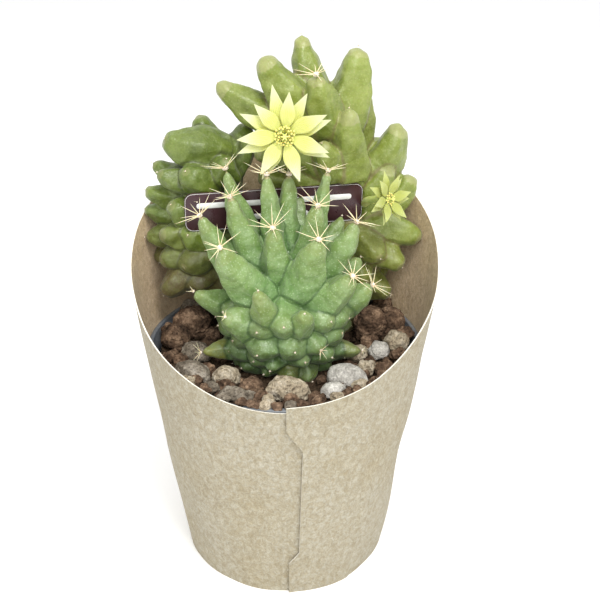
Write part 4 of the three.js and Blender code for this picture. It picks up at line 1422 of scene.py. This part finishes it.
rocks = {  # tones, pore scale, and pore depth and painted pore shade of the finish; grains and pits as (scale, depth); voxel
    "lava": (lavaLook, 700, 0.8, [(480, 0.8), (1150, 0.42)], [(560, 0.6)], 0.34),
    "pumice": (pumiceLook, 900, 0.7, [(330, 0.5), (900, 0.25)], [(620, 0.5)], 0.34),
    "tan": (tanLook, 900, 0.7, [(260, 0.6), (900, 0.3)], [(480, 0.75)], 0.32),
    "pale": (paleLook, 1300, 0.5, [(220, 0.25)], [(800, 0.22)], 0.36),
}
rockKinds = {  # stones whose look differs from their name
    "pumice_stone_8": "tan",
    "pumice_stone_9": "pale",
    "pumice_stone_10": "pale",
    "pumice_stone_11": "pale",
    "pumice_stone_12": "tan",
    "lava_stone_3": "pumice",
    "lava_stone_5": "tan",
}
pebbles = [  # x, y, height over the soil, size, look
    (-13, -32, 1.5, 4.2, "lava"), (-8.5, -42, 2.0, 3.8, "lava"), (-6, -46.5, 3.4, 2.6, "tan"),
    (-22, -33, 1.6, 4.4, "lava"), (-26.5, -36, 3.2, 3.6, "pumice"), (-29, -17, 1.0, 3.8, "lava"),
    (10, -43.5, 2.4, 3.6, "lava"), (19, -31, 0.8, 3.2, "lava"), (27, -36, 3.4, 3.4, "tan"),
    (31, -16.5, 1.0, 4.2, "tan"), (37, -20, 2.4, 4.0, "lava"), (28.5, -4, 1.2, 4.4, "tan"),
    (33, 2, 1.4, 4.6, "lava"), (43, -12, 3.0, 3.6, "lava"), (47, 4, 3.4, 3.2, "lava"),
    (-39, -14, 2.2, 4.0, "lava"), (-43.5, -13, 3.6, 3.0, "lava"), (-30, 3, 1.2, 4.4, "lava"),
    (-45.5, 7, 3.2, 3.6, "lava"), (-29, 12, 1.4, 4.6, "lava"), (-12.5, -41, 3.4, 2.8, "pumice"),
    (2, -46.5, 3.6, 2.8, "lava"), (22, -42, 3.6, 2.8, "lava"), (-33, -32.5, 3.8, 3.0, "lava"),
    (36, -30, 3.8, 3.2, "lava"), (26, 24, 1.2, 4.0, "lava"), (-26, 34, 2.4, 5.0, "lava"),
    (-38, 26, 3.0, 5.0, "pumice"), (24, 40, 3.2, 5.0, "lava"), (40, 27, 3.0, 4.6, "lava"),
    (-12, 44, 3.4, 4.0, "tan"), (12, 30, 1.0, 3.6, "lava"), (-18, 38, 2.4, 3.6, "lava"),
    # a row along the rim at the front
    (-28, -40.5, 5.0, 2.6, "lava"), (-21.3, -45.6, 4.8, 2.6, "pumice"), (-15, -48.6, 4.6, 2.4, "lava"),
    (-10.6, -49.8, 4.6, 2.3, "lava"), (-6.6, -50.5, 4.6, 2.3, "tan"), (-2.6, -50.8, 4.6, 2.3, "lava"),
    (1.6, -50.8, 4.6, 2.3, "pumice"), (6, -50.4, 4.6, 2.3, "lava"), (11, -49.4, 4.6, 2.4, "lava"),
    (17.8, -46, 5.6, 2.6, "tan"), (25, -42.5, 5.4, 2.6, "lava"), (31.6, -38, 5.2, 2.6, "lava"),
    (-34, -33.5, 4.8, 2.7, "tan"), (39, -27.5, 4.8, 2.8, "lava"),
]
rootHairs = {
    "number": 130,
    "length": 7.0,
    "thick": 0.07,
    "colour": (0.12, 0.07, 0.04),
    "dark": (0.05, 0.03, 0.018),
}


# A lump with its own bumps, from a ball of points.
def lumpForm(centre, size, seed, template):
    dice = random.Random(seed)
    stretch = [dice.uniform(0.85, 1.2), dice.uniform(0.8, 1.1), dice.uniform(0.7, 0.95)]
    turn = Matrix.Rotation(dice.uniform(0, 6.28), 3, "Z")
    offset = Vector((seed * 1.7, seed * 0.3, 0))
    points = []
    ball, faces = template
    for vertex in ball:
        push = 1 + 0.35 * noise.noise(vertex * 1.2 + offset) + 0.2 * noise.noise(vertex * 2.9 + offset)
        push += 0.12 * noise.noise(vertex * 6.5 + offset)
        spot = Vector((vertex.x * stretch[0], vertex.y * stretch[1], vertex.z * stretch[2]))
        points.append(centre + (turn @ spot) * size * push)
    return points, faces


def ballTemplate(detail):
    ball = bmesh.new()
    bmesh.ops.create_icosphere(ball, subdivisions=detail, radius=1)
    ball.verts.ensure_lookup_table()
    form = ([v.co.copy() for v in ball.verts], [tuple(v.index for v in face.verts) for face in ball.faces])
    ball.free()
    return form


def inFoot(x, y, margin):
    return any(math.hypot(x - fx, y - fy) < radius + margin for fx, fy, radius in bed["feet"])


def makeCrumbs():
    template = ballTemplate(3)
    dice = random.Random(11)
    dark, warm = Gather(), Gather()
    for number in range(bed["crumbs"]):
        size = dice.choice((0.5, 0.7, 0.9, 1.2, 1.6, 2.0))
        distance = (bed["crumbReach"] - size) * math.sqrt(dice.random())
        angle = dice.uniform(0, 2 * math.pi)
        x, y = distance * math.cos(angle), distance * math.sin(angle)
        if inFoot(x, y, -2):
            continue
        centre = Vector((x, y, bedHeight(distance) + size * 0.35)) * mm
        form = dark if dice.random() < 0.45 else warm
        form.add(*lumpForm(centre, size * mm, number + 3, template))
    settle(dark.build("earthCrumbs"), soilFinish())
    settle(warm.build("grit"), rockFinish("gritLook", lavaLook, 900, 0.6))


# Rounds a stone off and gives it its kind's grains, pits and dents.
def weather(piece, kind, seed):
    _, _, _, bumps, holes, voxel = rocks[kind]
    fuse(piece, voxel * mm, 5, 0.6)
    points = pointsOf(piece)
    shift = np.zeros(len(points))
    for scale, depth in bumps:
        shift += depth * grains(points, scale, seed)
    for scale, depth in holes:
        shift += depth * pits(points, scale, seed, 0.42)
    shift += 0.5 * noiseAt(points, 130, Vector((seed, 0, 0)))
    shift += 0.9 * noiseAt(points, 75, Vector((0, seed, 0)))
    setPoints(piece, points + pointsOf(piece, "normal") * (shift * mm)[:, None])
    smooth = piece.modifiers.new("rub", "SMOOTH")
    smooth.iterations = 1
    bakeModifiers(piece)


def makeStones():
    finishes = {}
    for kind, (tones, poreScale, poreDepthAndShade, _, _, _) in rocks.items():
        finishes[kind] = rockFinish(kind + "Rock", tones, poreScale, poreDepthAndShade)
    names = sorted(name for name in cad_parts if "_stone_" in name)
    for number, node in enumerate(names):
        kind = rockKinds.get(node, node.split("_")[0])
        piece = bpy.data.objects.new(node.replace("_stone_", "Stone"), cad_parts[node].data.copy())
        scene.collection.objects.link(piece)
        weather(piece, kind, number + 1.0)
        settle(piece, finishes[kind], [node])
    template = ballTemplate(4)
    for number, (x, y, high, size, kind) in enumerate(pebbles):
        centre = Vector((x, y, bedHeight(math.hypot(x, y)) + high * 0.6)) * mm
        piece = makeObject("pebble%d" % (number + 1), *lumpForm(centre, size * mm, number + 60, template))
        weather(piece, kind, number + 30.0)
        points = pointsOf(piece)
        keepInside(points, 0.4)
        setPoints(piece, points)
        settle(piece, finishes[kind])


def makeHairs():
    dice = random.Random(5)
    form = Gather()
    for number in range(rootHairs["number"]):
        fx, fy, radius = bed["feet"][0] if number % 4 else bed["feet"][1 + number % 2]
        angle = dice.uniform(math.pi * 0.9, math.pi * 2.1)
        distance = radius + dice.uniform(-2, 9)
        x, y = fx + distance * math.cos(angle), fy + distance * math.sin(angle)
        start = Vector((x, y, bedHeight(math.hypot(x, y)) + 0.2)) * mm
        way = Vector((dice.uniform(-1, 1), dice.uniform(-1, 1), dice.uniform(0.1, 0.7))).normalized()
        length = rootHairs["length"] * dice.uniform(0.4, 1.0) * mm
        bow = dice.uniform(-0.5, 0.3)
        points, faces, _ = needleForm(start, way, length, rootHairs["thick"] * mm, bow, 5, 8)
        form.add(points, faces)
    finish, tree = newFinish("rootHair")
    tone = mottle(tree, 600, 3, 0.6, [(0.3, rootHairs["dark"]), (0.7, rootHairs["colour"])])
    settle(form.build("rootHairs"), dress(finish, tone, {"Roughness": 0.9}))


makeSoil()
makeCrumbs()
makeStones()
makeHairs()
print("potted cactus: soil, stones, crumbs and root hairs made")
